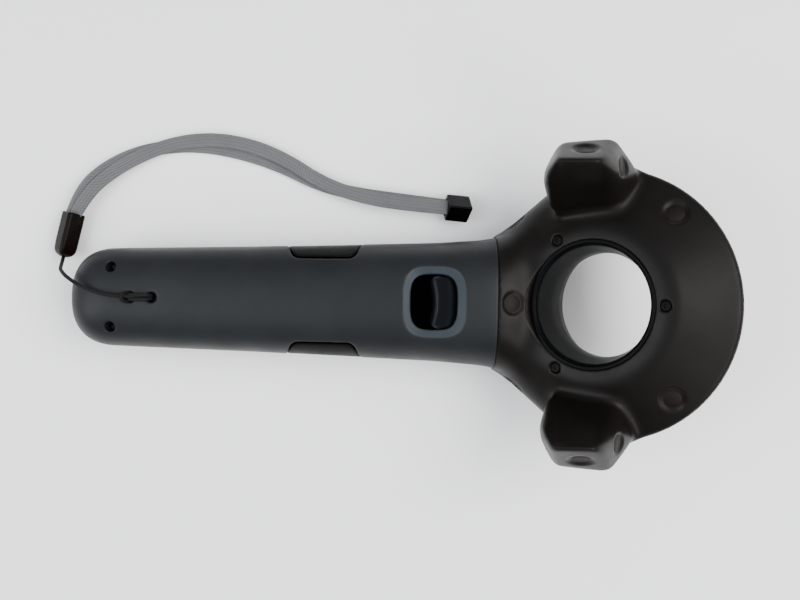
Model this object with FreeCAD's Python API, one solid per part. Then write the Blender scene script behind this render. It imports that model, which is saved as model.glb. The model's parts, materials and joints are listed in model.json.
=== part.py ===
import FreeCAD, Part
import math
import os
from functools import lru_cache

# VR motion controller, lying trackpad side down on Z = 0.
# +X runs from the butt to the head, +Z up through the trigger side. Millimetres.
# The origin is the bottom centre of the controller without its lanyard.

V = FreeCAD.Vector

# ---- driving dimensions -------------------------------------------------------

WALL = 2.2                 # moulded wall of the shells
GAP = 0.4                  # gap round each pressed part
PART_GAP = 0.05            # gap between the handle's end and the neck
BEYOND = 300.0             # longer than the whole object, for trimming blocks

ORIGIN_X = 109.55          # middle of the controller's length; X below counts from the butt
HANDLE_END = 145.0         # parting plane between handle and head
BUTT_LENGTH = 15.5         # rounded end of the handle
BUTT_POWER = 2.5           # fullness of that rounding
HANDLE_STATIONS = (0.0, 60.0, 100.0, 125.0, 140.0, 145.0)
HANDLE_HALF_WIDTHS = (16.5, 18.1, 19.4, 20.3, 21.0, 21.4)
HANDLE_HEIGHTS = (27.0, 29.5, 32.5, 34.3, 35.0, 35.0)
SECTION_MIDDLE = 0.48      # height of the widest line, as a share of the height
SECTION_DIP = 0.7          # how far the section would dip under the flat
POWER_LOW = 3.2            # squareness of the section below its middle
POWER_HIGH = 2.35          # squareness above its middle
SECTION_POINTS = 28
SEAM_Z = 14.5              # parting height between the two handle shells

RING_TILT = 31.0           # degrees the ring's axis leans towards the butt
RING_X = 173.8             # centre of the hole's rim on the trigger side
RING_Z = 40.0
RIM_RADIUS = 19.5
FAR_RIM_RADIUS = 20.5
WAIST_RADIUS = 17.2
WAIST_TOP = 11.0           # depths below the rim plane, along the ring's axis
WAIST_BOTTOM = 16.0
RING_DEPTH = 27.5
ANNULUS_RADIUS = 26.0
ANNULUS_DEPTH = 0.4
EDGE_RADIUS = 44.5
EDGE_TOP = 10.6
EDGE_BOTTOM = 13.6
BAND_RADIUS = 44.9
LOWER_RADIUS = 27.0
LOWER_DEPTH = 26.4
SEAM_DEPTH = 12.2          # parting depth between the two head shells
BORE_CLEAR = 14.0          # how far the hole is cleared above the rim plane
BORE_FLARE = 0.8           # how much the clearing widens below the far rim
BORE_RUN_OUT = 4.0
SLEEVE_WALL = 1.6
SLEEVE_PLAY = 0.1
SLEEVE_INSET = 0.3
SEAM_ANGLE = 77.0          # where the turned faces close, clear of the screws

NECK_STATIONS = (145.0, 148.0, 152.0, 157.0, 163.0, 170.0)
NECK_HALF_WIDTHS = (21.4, 22.9, 26.0, 30.6, 36.0, 41.0)
NECK_TOPS = (35.0, 34.4, 32.6, 30.6, 30.6, 31.0)
NECK_BOTTOMS = (0.0, 0.0, 0.6, 2.4, 6.0, 11.0)
PLAN_STATIONS = (0, 1, 2, 4)        # neck stations that also trim the ring in plan
PLAN_END_X = 173.0                  # where that trimming ends
PLAN_END_WIDTH = 46.0

TRIGGER_PIVOT = (134.5, 14.5)
TRIGGER_HALF_WIDTH = 8.7
OPENING_X = (116.2, 131.6)
OPENING_HALF_WIDTH = 9.1
BEZEL_X = (113.8, 134.2)
BEZEL_HALF_WIDTH = 11.6
BEZEL_DEPTH = 0.9
BEZEL_CORNER = 4.0
OPENING_CORNER = 3.2
TRIGGER_TIP_X = 121.5      # butt side of the trigger's rounded plan
TRIGGER_CORNER = 3.5
TRIGGER_PROUD = 3.2        # how far the trigger may stand out of the handle's form
HUB_RADIUS = 3.8
PIN_RADIUS = 1.5
PIN_CLEARANCE = 0.05
PIN_HALF_LENGTH = 11.6
MAGNET = (126.0, 25.4)
MAGNET_RADIUS = 1.55
MAGNET_HALF_LENGTH = 1.1
MAGNET_PLAY = 0.05
SPRING_WIRE = 0.35         # radius of the spring's wire
SPRING_RADIUS = 2.4
SPRING_TURNS = 8
SPRING_PITCH = 0.6
SPRING_END_Y = 2.1
EAR_Y = 9.6                # inner face of each bracket ear
EAR_THICKNESS = 1.8
EAR_RADIUS = 4.5

TRACKPAD_X = 119.0
TRACKPAD_RADIUS = 16.4
TRACKPAD_LAND = 19.0
TRACKPAD_LAND_Z = 7.0
TRACKPAD_PLATE_Z = 3.2     # top of the touch plate
TRACKPAD_FLANGE = (17.5, 2.8, 3.8)
TRACKPAD_SHELF = (18.0, 2.4, 9.0)
DISH_RADIUS = 260.0
DISH_DEPTH = 0.5
TRACKPAD_BOARD = (15.0, 5.8, 7.0)
DOME_BASE = (3.0, 5.2, 5.8)
DOME_CAP = (1.4, 4.6, 5.3)
MENU_X = 140.6
MENU_RADIUS = 2.8
SYSTEM_X = 89.0
SYSTEM_RADIUS = 4.4
LED_X = 80.5
LED_RADIUS = 0.9
LAMP_HALF = 1.1
LAMP_Z = (5.0, 6.0)
DOME_STROKE = 0.8          # how far a grip switch's plunger stands out
BUTTON_BOTTOM = 0.4        # pressed faces sit this far inside the flat
BUTTON_TOP = 3.2
BUTTON_EDGE = 0.5
BUTTON_FLANGE = 0.9
BUTTON_FLANGE_Z = (2.6, 3.4)
SWITCH_HALF = 1.6
SWITCH_Z = 4.8
SWITCH_PLUNGER = (0.8, 4.1, 4.9)

GRIP_X = (72.8, 101.8)
GRIP_Z = (8.5, 29.5)
GRIP_INNER_Y = 14.4        # the pad's edge nearest the middle of the trigger side
GRIP_SLANT = 4.6
GRIP_PRESS_GAP = 0.7       # gap that the pad moves into, 0.4 of it used
GRIP_SKIN = 0.5            # how much deeper than the wall the pad reaches
GRIP_FLANGE_SKIN = (0.4, 1.5)
GRIP_FLANGE_EDGE = (1.6, 1.2)
GRIP_SWITCH_X = 87.5
GRIP_SWITCH_Z = 16.2
GRIP_SWITCH_BODY = (3.0, 2.2, 2.0)
GRIP_SWITCH_PLAY = 1.2

BUTT_SCREW_X = 15.8
BUTT_SCREW_Y = 10.0
BUTT_SCREW_HOLE = 1.8
BUTT_SCREW_PILOT = 0.85
BUTT_POST_RADIUS = 2.9
BUTT_HEAD = (1.6, 20.1, 21.6)
BUTT_SHANK = (0.8, 8.5, 20.2)
BUTT_SOCKET = (0.8, 21.0, 22.0)
LANYARD_HOLES_X = (22.9, 30.1)
LANYARD_HOLE_RADIUS = 1.8
RING_SCREW_RADIUS = 24.0
RING_SCREW_SEAT = 1.5      # depth of the face under the screw's head
RING_SCREW_ANGLES = (0.0, 120.0, 240.0)
RING_SCREW_HOLE = 1.9
RING_SCREW_PILOT = 0.95
RING_HEAD_RADIUS = 1.7
RING_HEAD_HEIGHT = 0.9
RING_SOCKET = (0.8, 0.5)
RING_SHANK = (0.9, 9.0)

SENSOR_RADIUS = 4.7
SENSOR_FLOOR_RADIUS = 3.1
SENSOR_DEPTH = 0.8
CUP_RADIUS = 2.0
CUP_HEIGHT = 1.0
SENSOR_FRAME = ((23.5, 37.0), (13.0, 14.6))    # radii and depths
HEAD_BOARD = ((24.0, 34.0), (14.6, 15.8))
FRAME_CLEARANCE = 2.0
PASSAGE = ((144.0, 148.0), (-14.0, 14.0), (5.0, 26.0))

# Sensors on the sloping ring: radius, depth and slope of their faces.
CRESCENT_SENSOR = (38.7, 7.1, 29.0)
CRESCENT_ANGLE = 50.0
FRONT_SENSOR = (35.5, 20.3, 144.0)
FRONT_ANGLES = (0, 40, 80, 120, 240, 280, 320)
NECK_SENSOR = ((149.8, 0.0, 33.7), (-0.2, 0.0, 1.0))
# Sensors of the +Y side: place and direction.
SIDE_SENSORS = (
    ((168.5, 48.0, 56.0), (-0.05, 0.86, 0.5)),
    ((182.0, 43.5, 50.0), (0.84, 0.3, 0.45)),
    ((159.0, 42.5, 42.0), (-0.99, 0.1, 0.1)),
    ((153.5, 26.5, 17.0), (-0.68, 0.73, 0.05)),
)

# Inner blocks as (low, high) along X, Y and Z.
SOCKET_HOLE = ((-2.0, 6.0), (-4.1, 4.1), (7.8, 11.2))
SOCKET_SHELL = ((1.6, 9.0), (-3.75, 3.75), (8.2, 11.0))
SOCKET_MOUTH = ((1.0, 6.5), (-3.25, 3.25), (8.6, 10.6))
SOCKET_TONGUE = ((2.6, 6.6), (-2.4, 2.4), (9.3, 9.8))
BUTTON_BOARD = ((77.0, 99.0), (-8.0, 8.0), (6.0, 7.0))
BRACKET_BASE = ((113.0, 143.0), (-11.4, 11.4), (8.0, 9.4))
SCREW_PILOT = 0.9
SENSOR_BOARD = ((113.6, 114.8), (-4.0, 4.0), (9.4, 20.0))
SENSOR_CHIP = ((114.8, 115.8), (-1.5, 1.5), (16.6, 19.4))
CHASSIS_PLATE = ((20.0, 112.6), (-12.6, 12.6), (10.6, 12.0))
CHASSIS_WINDOW = ((40.0, 66.0), (-5.0, 5.0), (10.0, 13.0))
CHASSIS_NOTCH = ((72.2, 73.9), (-2.4, 2.4), (10.0, 13.0))
CHASSIS_RIB = ((74.0, 75.4), (-10.5, 10.5), (11.8, 16.5))
CHASSIS_TAB = ((83.5, 91.5), (9.8, 11.0), (11.8, 18.2))
CHASSIS_FOOT = ((108.0, 112.6), (-9.0, 9.0), (8.0, 10.8))
CHASSIS_WINGS = (
    ((46.0, 52.0), (-14.6, 14.6), (10.6, 12.0)),
    ((105.0, 111.0), (-15.6, 15.6), (10.6, 12.0)),
)
CHASSIS_SCREWS = tuple((x, y) for x in (24.0, 70.5) for y in (-9.5, 9.5))
CHASSIS_POSTS = tuple((x, y) for x in (82.5, 96.5) for y in (-6.0, 6.0))
MAIN_BOARD = ((9.0, 74.0), (-12.0, 12.0), (7.0, 8.2))
BOARD_NOTCH = ((8.0, 19.6), (6.0, 13.0), (6.0, 9.0))
CHIPS = (
    ((30.0, 42.0), (-6.0, 6.0), (5.4, 7.0)),
    ((47.0, 54.0), (-3.5, 3.5), (5.9, 7.0)),
    ((58.0, 62.0), (3.0, 7.0), (6.1, 7.0)),
    ((58.0, 63.0), (-8.0, -4.0), (6.1, 7.0)),
)
CELL = ((21.5, 72.5), (-9.5, 9.5), (13.5, 21.5))
CELL_EDGE = 2.0
CELL_PAD = ((24.0, 69.0), (-7.5, 7.5), (12.0, 13.5))
CELL_LEAD = ((72.5, 73.6), (-2.0, 2.0), (8.2, 18.0))
RIBBON = ((74.0, 152.0), (8.6, 12.6), (7.15, 7.4))
MOTOR = (101.5, 5.5, 12.0, 17.0)
MOTOR_EDGE = 0.6

# Lobe on the +Y side, as the corners of its outer form.
LOBE = (
    (158.3, 42.5, 64.5), (172.0, 42.5, 65.0), (184.5, 35.3, 42.0), (182.0, 28.8, 36.5),
    (162.5, 30.0, 32.0), (161.8, 50.2, 48.0), (178.5, 52.3, 48.0), (189.0, 42.5, 38.0),
    (156.8, 40.0, 50.0), (161.0, 44.0, 25.0), (183.0, 44.0, 28.0),
)
LOBE_HOLLOW = 0.84         # inner form of a lobe, as a share of the outer

CORD_DIAMETER = 1.3
STRAP_WIDTH = 4.8
STRAP_THICKNESS = 1.2
STRAP_STACK = 1.35         # between the middles of the two legs
ARC_SHARE = 0.45           # share of the shorter run that an arc takes up


# ---- helpers ------------------------------------------------------------------

def blend(x, stations, values):
    """Value at x on straight lines between stations."""
    if x <= stations[0]:
        return values[0]
    for i in range(1, len(stations)):
        if x <= stations[i]:
            share = (x - stations[i - 1]) / (stations[i] - stations[i - 1])
            return values[i - 1] + share * (values[i] - values[i - 1])
    return values[-1]


def box(x, y, z):
    """Box from three (low, high) pairs."""
    return Part.makeBox(x[1] - x[0], y[1] - y[0], z[1] - z[0], V(x[0], y[0], z[0]))


def rod(radius, start, end):
    """Cylinder between two points."""
    direction = V(*end) - V(*start)
    return Part.makeCylinder(radius, direction.Length, V(*start), direction)


def fused(shapes):
    """One shape from several that touch."""
    return shapes[0].multiFuse(shapes[1:]).removeSplitter()


def mirrored(shape):
    """The same shape on the other side of Y = 0."""
    return shape.mirror(V(0, 0, 0), V(0, 1, 0))


def oval(x, half_width, bottom, top, scale=1.0):
    """Closed squarish oval across X, wider low down."""
    middle = bottom + (top - bottom) * SECTION_MIDDLE
    points = []
    for i in range(SECTION_POINTS):
        angle = 2 * math.pi * i / SECTION_POINTS
        c, s = math.cos(angle), math.sin(angle)
        power = POWER_HIGH if s >= 0 else POWER_LOW
        reach = (top - middle) if s >= 0 else (middle - bottom)
        y = math.copysign(abs(c) ** (2 / power), c) * half_width
        z = math.copysign(abs(s) ** (2 / power), s) * reach
        points.append(V(x, scale * y, middle + scale * z))
    curve = Part.BSplineCurve()
    curve.interpolate(points, PeriodicFlag=True)
    return Part.Wire([curve.toShape()])


def handle_section(x, inset):
    """Handle section at x, pulled in by inset."""
    along = (x - inset) / BUTT_LENGTH
    scale = 1.0
    if along < 1.0:
        scale = (1.0 - (1.0 - along) ** BUTT_POWER) ** (1.0 / BUTT_POWER)
    half_width = blend(x, HANDLE_STATIONS, HANDLE_HALF_WIDTHS) - inset
    top = blend(x, HANDLE_STATIONS, HANDLE_HEIGHTS) - inset
    return oval(x, half_width, inset - SECTION_DIP, top, scale)


@lru_cache(maxsize=None)
def handle_form(inset):
    """Outer form of the handle, pulled in by inset all over; made once for each inset."""
    shares = (0.012, 0.04, 0.09, 0.17, 0.28, 0.42, 0.6, 0.8, 1.0)
    stations = [inset + BUTT_LENGTH * share for share in shares]
    stations += HANDLE_STATIONS[1:]
    wires = [handle_section(x, inset) for x in stations]
    solid = Part.makeLoft(wires, True, True)
    above = box((-BEYOND, HANDLE_END - PART_GAP), (-BEYOND, BEYOND), (inset, BEYOND))
    return solid.common(above)


def handle_solid(inset):
    """A fresh copy of the handle's form, safe to cut."""
    return handle_form(inset).copy()


def in_ring(shape):
    """Move a shape from the ring's own axis frame into place."""
    moved = shape.copy()
    turn = FreeCAD.Rotation(V(0, 1, 0), -RING_TILT)
    moved.Placement = FreeCAD.Placement(V(RING_X, 0, RING_Z), turn)
    return moved


def ring_point(radius, angle, depth):
    """Point given in the ring's frame: angle 0 is the front."""
    a = math.radians(angle)
    local = V(radius * math.cos(a), radius * math.sin(a), -depth)
    turn = FreeCAD.Rotation(V(0, 1, 0), -RING_TILT)
    return turn.multVec(local) + V(RING_X, 0, RING_Z)


def turned(profile):
    """Ring-shaped solid from an outline of (radius, depth) points."""
    points = [V(r, 0, -d) for r, d in profile]
    face = Part.Face(Part.makePolygon(points + points[:1]))
    solid = face.revolve(V(0, 0, 0), V(0, 0, 1), 360)
    solid.rotate(V(0, 0, 0), V(0, 0, 1), SEAM_ANGLE)
    return in_ring(solid)


def hull(corners):
    """Convex solid round a few corners."""
    points = [V(*c) for c in corners]
    middle = V(0, 0, 0)
    for p in points:
        middle += p
    middle = middle / len(points)
    faces = []
    count = len(points)
    for i in range(count):
        for j in range(i + 1, count):
            for k in range(j + 1, count):
                normal = (points[j] - points[i]).cross(points[k] - points[i])
                if normal.dot(points[i] - middle) < 0:
                    normal = -normal
                outside = [p for p in points if normal.dot(p - points[i]) > 1e-6]
                if outside:
                    continue
                faces.append(Part.Face(Part.makePolygon([points[i], points[j], points[k], points[i]])))
    return Part.Solid(Part.Shell(faces))


def rounded_prism(x, half_y, z, radius):
    """Upright prism with rounded corners."""
    block = box(x, (-half_y, half_y), z)
    upright = [e for e in block.Edges if abs(e.Vertexes[0].Z - e.Vertexes[1].Z) > 1.0]
    return block.makeFillet(radius, upright)


# ---- outer forms --------------------------------------------------------------

def ring_form(inset):
    """Outer form of the ring, without its hole."""
    profile = [
        (0, inset),
        (ANNULUS_RADIUS, ANNULUS_DEPTH + inset),
        (EDGE_RADIUS - inset, EDGE_TOP + inset * 0.6),
        (BAND_RADIUS - inset, SEAM_DEPTH),
        (EDGE_RADIUS - inset, EDGE_BOTTOM - inset * 0.6),
        (LOWER_RADIUS, LOWER_DEPTH - inset),
        (0, RING_DEPTH - inset),
    ]
    return turned(profile)


def neck_form(inset):
    """Flared neck between the handle and the ring."""
    wires = []
    for i, x in enumerate(NECK_STATIONS):
        bottom = NECK_BOTTOMS[i] + inset
        dip = SECTION_DIP if i == 0 else 0.0
        wires.append(oval(x, NECK_HALF_WIDTHS[i] - inset, bottom - dip, NECK_TOPS[i] - inset))
    above = box((-BEYOND, BEYOND), (-BEYOND, BEYOND), (inset, BEYOND))
    return Part.makeLoft(wires, True, True).common(above)


def plan_limit(inset):
    """Upright prism that trims the ring beside the neck."""
    side = [(NECK_STATIONS[i], NECK_HALF_WIDTHS[i] - inset) for i in PLAN_STATIONS]
    side += [(PLAN_END_X, PLAN_END_WIDTH - inset), (PLAN_END_X, BEYOND), (BEYOND, BEYOND)]
    outline = [V(x, y, 0) for x, y in side] + [V(x, -y, 0) for x, y in reversed(side)]
    face = Part.Face(Part.makePolygon(outline + outline[:1]))
    return face.extrude(V(0, 0, BEYOND))


def lobe_form(scale):
    """The +Y lobe, shrunk about its middle by scale."""
    solid = hull(LOBE)
    if scale == 1.0:
        return solid
    middle = solid.CenterOfMass
    return solid.scaled(scale, middle)


def head_form(inset, lobe_scale):
    """Whole outer form of the head, without its hole."""
    core = fused([ring_form(inset).common(plan_limit(inset)), neck_form(inset)])
    lobe = lobe_form(lobe_scale)
    return fused([core, lobe, mirrored(lobe)])


def bore_profile(extra):
    """Outline of the hourglass hole, widened by extra, run past both faces."""
    return [
        (0, -BORE_CLEAR), (RIM_RADIUS + extra, -BORE_CLEAR), (RIM_RADIUS + extra, 0),
        (WAIST_RADIUS + extra, WAIST_TOP), (WAIST_RADIUS + extra, WAIST_BOTTOM),
        (FAR_RIM_RADIUS + extra, RING_DEPTH),
        (FAR_RIM_RADIUS + extra + BORE_FLARE, RING_DEPTH + BORE_RUN_OUT),
        (0, RING_DEPTH + BORE_RUN_OUT),
    ]


def ring_normal(slope, angle):
    """Direction that leans by slope from the ring's axis, towards angle."""
    tilt, a = math.radians(slope), math.radians(angle)
    local = V(math.sin(tilt) * math.cos(a), math.sin(tilt) * math.sin(a), math.cos(tilt))
    return FreeCAD.Rotation(V(0, 1, 0), -RING_TILT).multVec(local)


def sensor_places():
    """Surface points and outward normals of the sensor dimples."""
    places = [(V(*NECK_SENSOR[0]), V(*NECK_SENSOR[1]))]
    radius, depth, slope = CRESCENT_SENSOR
    for side in (-1, 1):
        angle = side * CRESCENT_ANGLE
        places.append((ring_point(radius, angle, depth), ring_normal(slope, angle)))
        for (x, y, z), (nx, ny, nz) in SIDE_SENSORS:
            places.append((V(x, side * y, z), V(nx, side * ny, nz)))
    radius, depth, slope = FRONT_SENSOR
    for angle in FRONT_ANGLES:
        places.append((ring_point(radius, angle, depth), ring_normal(slope, angle)))
    return places


def sensor_dimples():
    """Shallow round recesses, as cutters."""
    cutters = []
    for point, normal in sensor_places():
        out = normal.normalize()
        low = point - out * SENSOR_DEPTH
        flare = Part.makeCone(SENSOR_FLOOR_RADIUS, SENSOR_RADIUS, SENSOR_DEPTH, low, out)
        above = Part.makeCylinder(SENSOR_RADIUS, SENSOR_RADIUS, point, out)
        cutters.append(flare.fuse(above))
    return cutters


# ---- head ---------------------------------------------------------------------

def head_shells():
    """Underside and top shells of the head, hollow, open at the hole."""
    outer = head_form(0.0, 1.0)
    outer = outer.cut(turned(bore_profile(SLEEVE_WALL)))
    inner = head_form(WALL, LOBE_HOLLOW)
    liner = turned(bore_profile(SLEEVE_WALL + WALL))
    shell = outer.cut(inner.cut(liner))
    shell = shell.cut(Part.makeCompound(sensor_dimples()))
    for angle in RING_SCREW_ANGLES:
        top = ring_point(RING_SCREW_RADIUS, angle, -RING_HEAD_RADIUS)
        seat = ring_point(RING_SCREW_RADIUS, angle, RING_SCREW_SEAT)
        end = ring_point(RING_SCREW_RADIUS, angle, RING_SCREW_SEAT + WALL)
        shell = shell.cut(rod(RING_SCREW_HOLE, top, seat))
        shell = shell.cut(rod(RING_SCREW_PILOT, top, end))
    shell = shell.cut(box(*PASSAGE))
    upper = in_ring(box((-BEYOND, BEYOND), (-BEYOND, BEYOND), (-SEAM_DEPTH, BEYOND)))
    rear = shell.common(upper)
    front = shell.cut(upper)
    return largest(rear), largest(front)


def largest(shape):
    """The biggest solid of a shape."""
    return sorted(shape.Solids, key=lambda s: s.Volume)[-1]


def bore_sleeve():
    """Hourglass wall of the hole."""
    thick = SLEEVE_WALL - SLEEVE_PLAY
    top, bottom = SLEEVE_INSET, RING_DEPTH - SLEEVE_INSET
    profile = [
        (RIM_RADIUS, top), (RIM_RADIUS + thick, top), (WAIST_RADIUS + thick, WAIST_TOP),
        (WAIST_RADIUS + thick, WAIST_BOTTOM), (FAR_RIM_RADIUS + thick, bottom),
        (FAR_RIM_RADIUS, bottom), (WAIST_RADIUS, WAIST_BOTTOM), (WAIST_RADIUS, WAIST_TOP),
    ]
    return turned(profile)


def ring_screws():
    """Three screws round the hole."""
    screws = []
    for angle in RING_SCREW_ANGLES:
        seat = ring_point(RING_SCREW_RADIUS, angle, RING_SCREW_SEAT)
        top = ring_point(RING_SCREW_RADIUS, angle, RING_SCREW_SEAT - RING_HEAD_HEIGHT)
        floor = ring_point(RING_SCREW_RADIUS, angle, RING_SCREW_SEAT - RING_SOCKET[1])
        end = ring_point(RING_SCREW_RADIUS, angle, RING_SHANK[1])
        head = rod(RING_HEAD_RADIUS, top, seat)
        shank = rod(RING_SHANK[0], floor, end)
        screws.append(fused([head, shank]).cut(rod(RING_SOCKET[0], top, floor)))
    return Part.makeCompound(screws)


def ring_plate(radii, depths):
    """Flat ring inside the head, trimmed beside the neck."""
    (inner, outer), (top, bottom) = radii, depths
    ring = turned([(inner, top), (outer, top), (outer, bottom), (inner, bottom)])
    return largest(ring.common(plan_limit(WALL + FRAME_CLEARANCE)))


def sensor_modules():
    """Round sensor cups behind the dimples."""
    cups = []
    for point, normal in sensor_places():
        out = normal.normalize()
        end = point - out * (WALL + CUP_HEIGHT + CUP_HEIGHT)
        cups.append(Part.makeCylinder(CUP_RADIUS, CUP_HEIGHT, end, out))
    return Part.makeCompound(cups)


# ---- handle shells --------------------------------------------------------------

def grip_prism(extra, z_extra, inner_extra):
    """Slant-ended prism in from the side, where a grip button sits."""
    x0, x1 = GRIP_X[0] - extra, GRIP_X[1] + extra
    z0, z1 = GRIP_Z[0] - z_extra, GRIP_Z[1] + z_extra
    y = GRIP_INNER_Y - inner_extra
    outline = [V(x0, y, z0), V(x1, y, z0), V(x1 - GRIP_SLANT, y, z1), V(x0 + GRIP_SLANT, y, z1)]
    face = Part.Face(Part.makePolygon(outline + outline[:1]))
    return face.extrude(V(0, BEYOND, 0))


def upright(x, y, radius, low, high):
    """Upright cylinder."""
    return rod(radius, (x, y, low), (x, y, high))


def handle_shells():
    """Trigger-side and trackpad-side shells of the handle."""
    middle = SEAM_Z
    land = upright(TRACKPAD_X, 0, TRACKPAD_LAND, 0, TRACKPAD_LAND_Z)
    shell = fused([handle_solid(0.0), land]).cut(handle_solid(WALL))
    shell = shell.cut(upright(TRACKPAD_X, 0, TRACKPAD_RADIUS + GAP, -WALL, TRACKPAD_SHELF[2]))
    shell = shell.cut(upright(TRACKPAD_X, 0, *TRACKPAD_SHELF))
    for x, radius in ((MENU_X, MENU_RADIUS), (SYSTEM_X, SYSTEM_RADIUS), (LED_X, LED_RADIUS - GAP)):
        shell = shell.cut(upright(x, 0, radius + GAP, -WALL, 2 * WALL))
    shell = shell.cut(box(*SOCKET_HOLE))
    pads = grip_prism(GAP, GAP, GRIP_PRESS_GAP)
    shell = shell.cut(fused([pads, mirrored(pads)]))
    above = (middle + WALL, BEYOND)
    bezel = rounded_prism(BEZEL_X, BEZEL_HALF_WIDTH, above, BEZEL_CORNER)
    shell = shell.cut(bezel.cut(handle_solid(BEZEL_DEPTH)))
    shell = shell.cut(rounded_prism(OPENING_X, OPENING_HALF_WIDTH, above, OPENING_CORNER))
    for x in LANYARD_HOLES_X:
        shell = shell.cut(upright(x, 0, LANYARD_HOLE_RADIUS, middle, BEYOND))
    inside = handle_solid(WALL * 0.5)
    posts = []
    for y in (-BUTT_SCREW_Y, BUTT_SCREW_Y):
        posts.append(upright(BUTT_SCREW_X, y, BUTT_POST_RADIUS, GAP, BEYOND))
    shell = fused([shell, Part.makeCompound(posts).common(inside)])
    for y in (-BUTT_SCREW_Y, BUTT_SCREW_Y):
        shell = shell.cut(upright(BUTT_SCREW_X, y, BUTT_SCREW_HOLE, BUTT_HEAD[1] - 0.1, BEYOND))
        shell = shell.cut(upright(BUTT_SCREW_X, y, BUTT_SCREW_PILOT, BUTT_SHANK[1] - 0.5, BEYOND))
    upper = box((-BEYOND, BEYOND), (-BEYOND, BEYOND), (SEAM_Z, BEYOND))
    return largest(shell.common(upper)), largest(shell.cut(upper))


def butt_screws():
    """Two screws down through the butt."""
    screws = []
    for y in (-BUTT_SCREW_Y, BUTT_SCREW_Y):
        head = upright(BUTT_SCREW_X, y, *BUTT_HEAD)
        shank = upright(BUTT_SCREW_X, y, *BUTT_SHANK)
        socket = upright(BUTT_SCREW_X, y, *BUTT_SOCKET)
        screws.append(fused([head, shank]).cut(socket))
    return Part.makeCompound(screws)


def grip_button(side):
    """Squeeze pad in the handle's side, with a flange behind the shell."""
    face_skin = handle_solid(0.0).cut(handle_solid(WALL + GRIP_SKIN))
    pad = face_skin.common(grip_prism(0.0, 0.0, 0.0))
    near, far = GRIP_FLANGE_SKIN
    edge, z_edge = GRIP_FLANGE_EDGE
    flange_skin = handle_solid(WALL + near).cut(handle_solid(WALL + far))
    flange = flange_skin.common(grip_prism(edge, z_edge, edge))
    button = largest(fused([pad, flange]))
    return button if side > 0 else mirrored(button)


def grip_switch(side):
    """Small switch behind a grip pad, on a tab of the chassis."""
    half_x, depth, half_z = GRIP_SWITCH_BODY
    x, z = GRIP_SWITCH_X, GRIP_SWITCH_Z
    pad_back = blend(x, HANDLE_STATIONS, HANDLE_HALF_WIDTHS) - WALL - GRIP_FLANGE_SKIN[1]
    tip = pad_back - GRIP_SWITCH_PLAY
    front = tip - DOME_STROKE
    body = box((x - half_x, x + half_x), (front - depth, front), (z - half_z, z + half_z))
    plunger = rod(1.0, (x, front - 0.1, z), (x, tip, z))
    switch = fused([body, plunger])
    return switch if side > 0 else mirrored(switch)


# ---- trackpad and buttons ---------------------------------------------------------

def trackpad():
    """Round touch plate with a shallow dish and a flange."""
    plate = upright(TRACKPAD_X, 0, TRACKPAD_RADIUS, BUTTON_BOTTOM, TRACKPAD_PLATE_Z)
    flange = upright(TRACKPAD_X, 0, *TRACKPAD_FLANGE)
    dish = Part.makeSphere(DISH_RADIUS, V(TRACKPAD_X, 0, BUTTON_BOTTOM + DISH_DEPTH - DISH_RADIUS))
    return fused([plate, flange]).cut(dish)


def trackpad_dome():
    """Click dome between the trackpad and its board."""
    return fused([upright(TRACKPAD_X, 0, *DOME_BASE), upright(TRACKPAD_X, 0, *DOME_CAP)])


def push_button(x, radius):
    """Domed push button with a flange behind the shell."""
    cap = upright(x, 0, radius, BUTTON_BOTTOM, BUTTON_TOP)
    rim = [e for e in cap.Edges if abs(e.BoundBox.ZMax - BUTTON_BOTTOM) < 1e-6]
    cap = cap.makeFillet(BUTTON_EDGE, rim[:1])
    flange = upright(x, 0, radius + BUTTON_FLANGE, *BUTTON_FLANGE_Z)
    return fused([cap, flange])


def push_switch(x, top):
    """Small square switch with a round plunger."""
    half = SWITCH_HALF
    body = box((x - half, x + half), (-half, half), (SWITCH_Z, top))
    return fused([body, upright(x, 0, *SWITCH_PLUNGER)])


def status_led():
    """Light pipe and lamp."""
    radius = LED_RADIUS - 0.1
    pipe = upright(LED_X, 0, radius, BUTTON_BOTTOM, LAMP_Z[0] + 0.2)
    lamp = box((LED_X - LAMP_HALF, LED_X + LAMP_HALF), (-LAMP_HALF, LAMP_HALF), LAMP_Z)
    return fused([pipe, lamp])


# ---- trigger ----------------------------------------------------------------------

def across(centre, radius, half_length):
    """Cylinder across the handle, from its centre in X and Z."""
    x, z = centre
    return rod(radius, (x, -half_length, z), (x, half_length, z))


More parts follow.
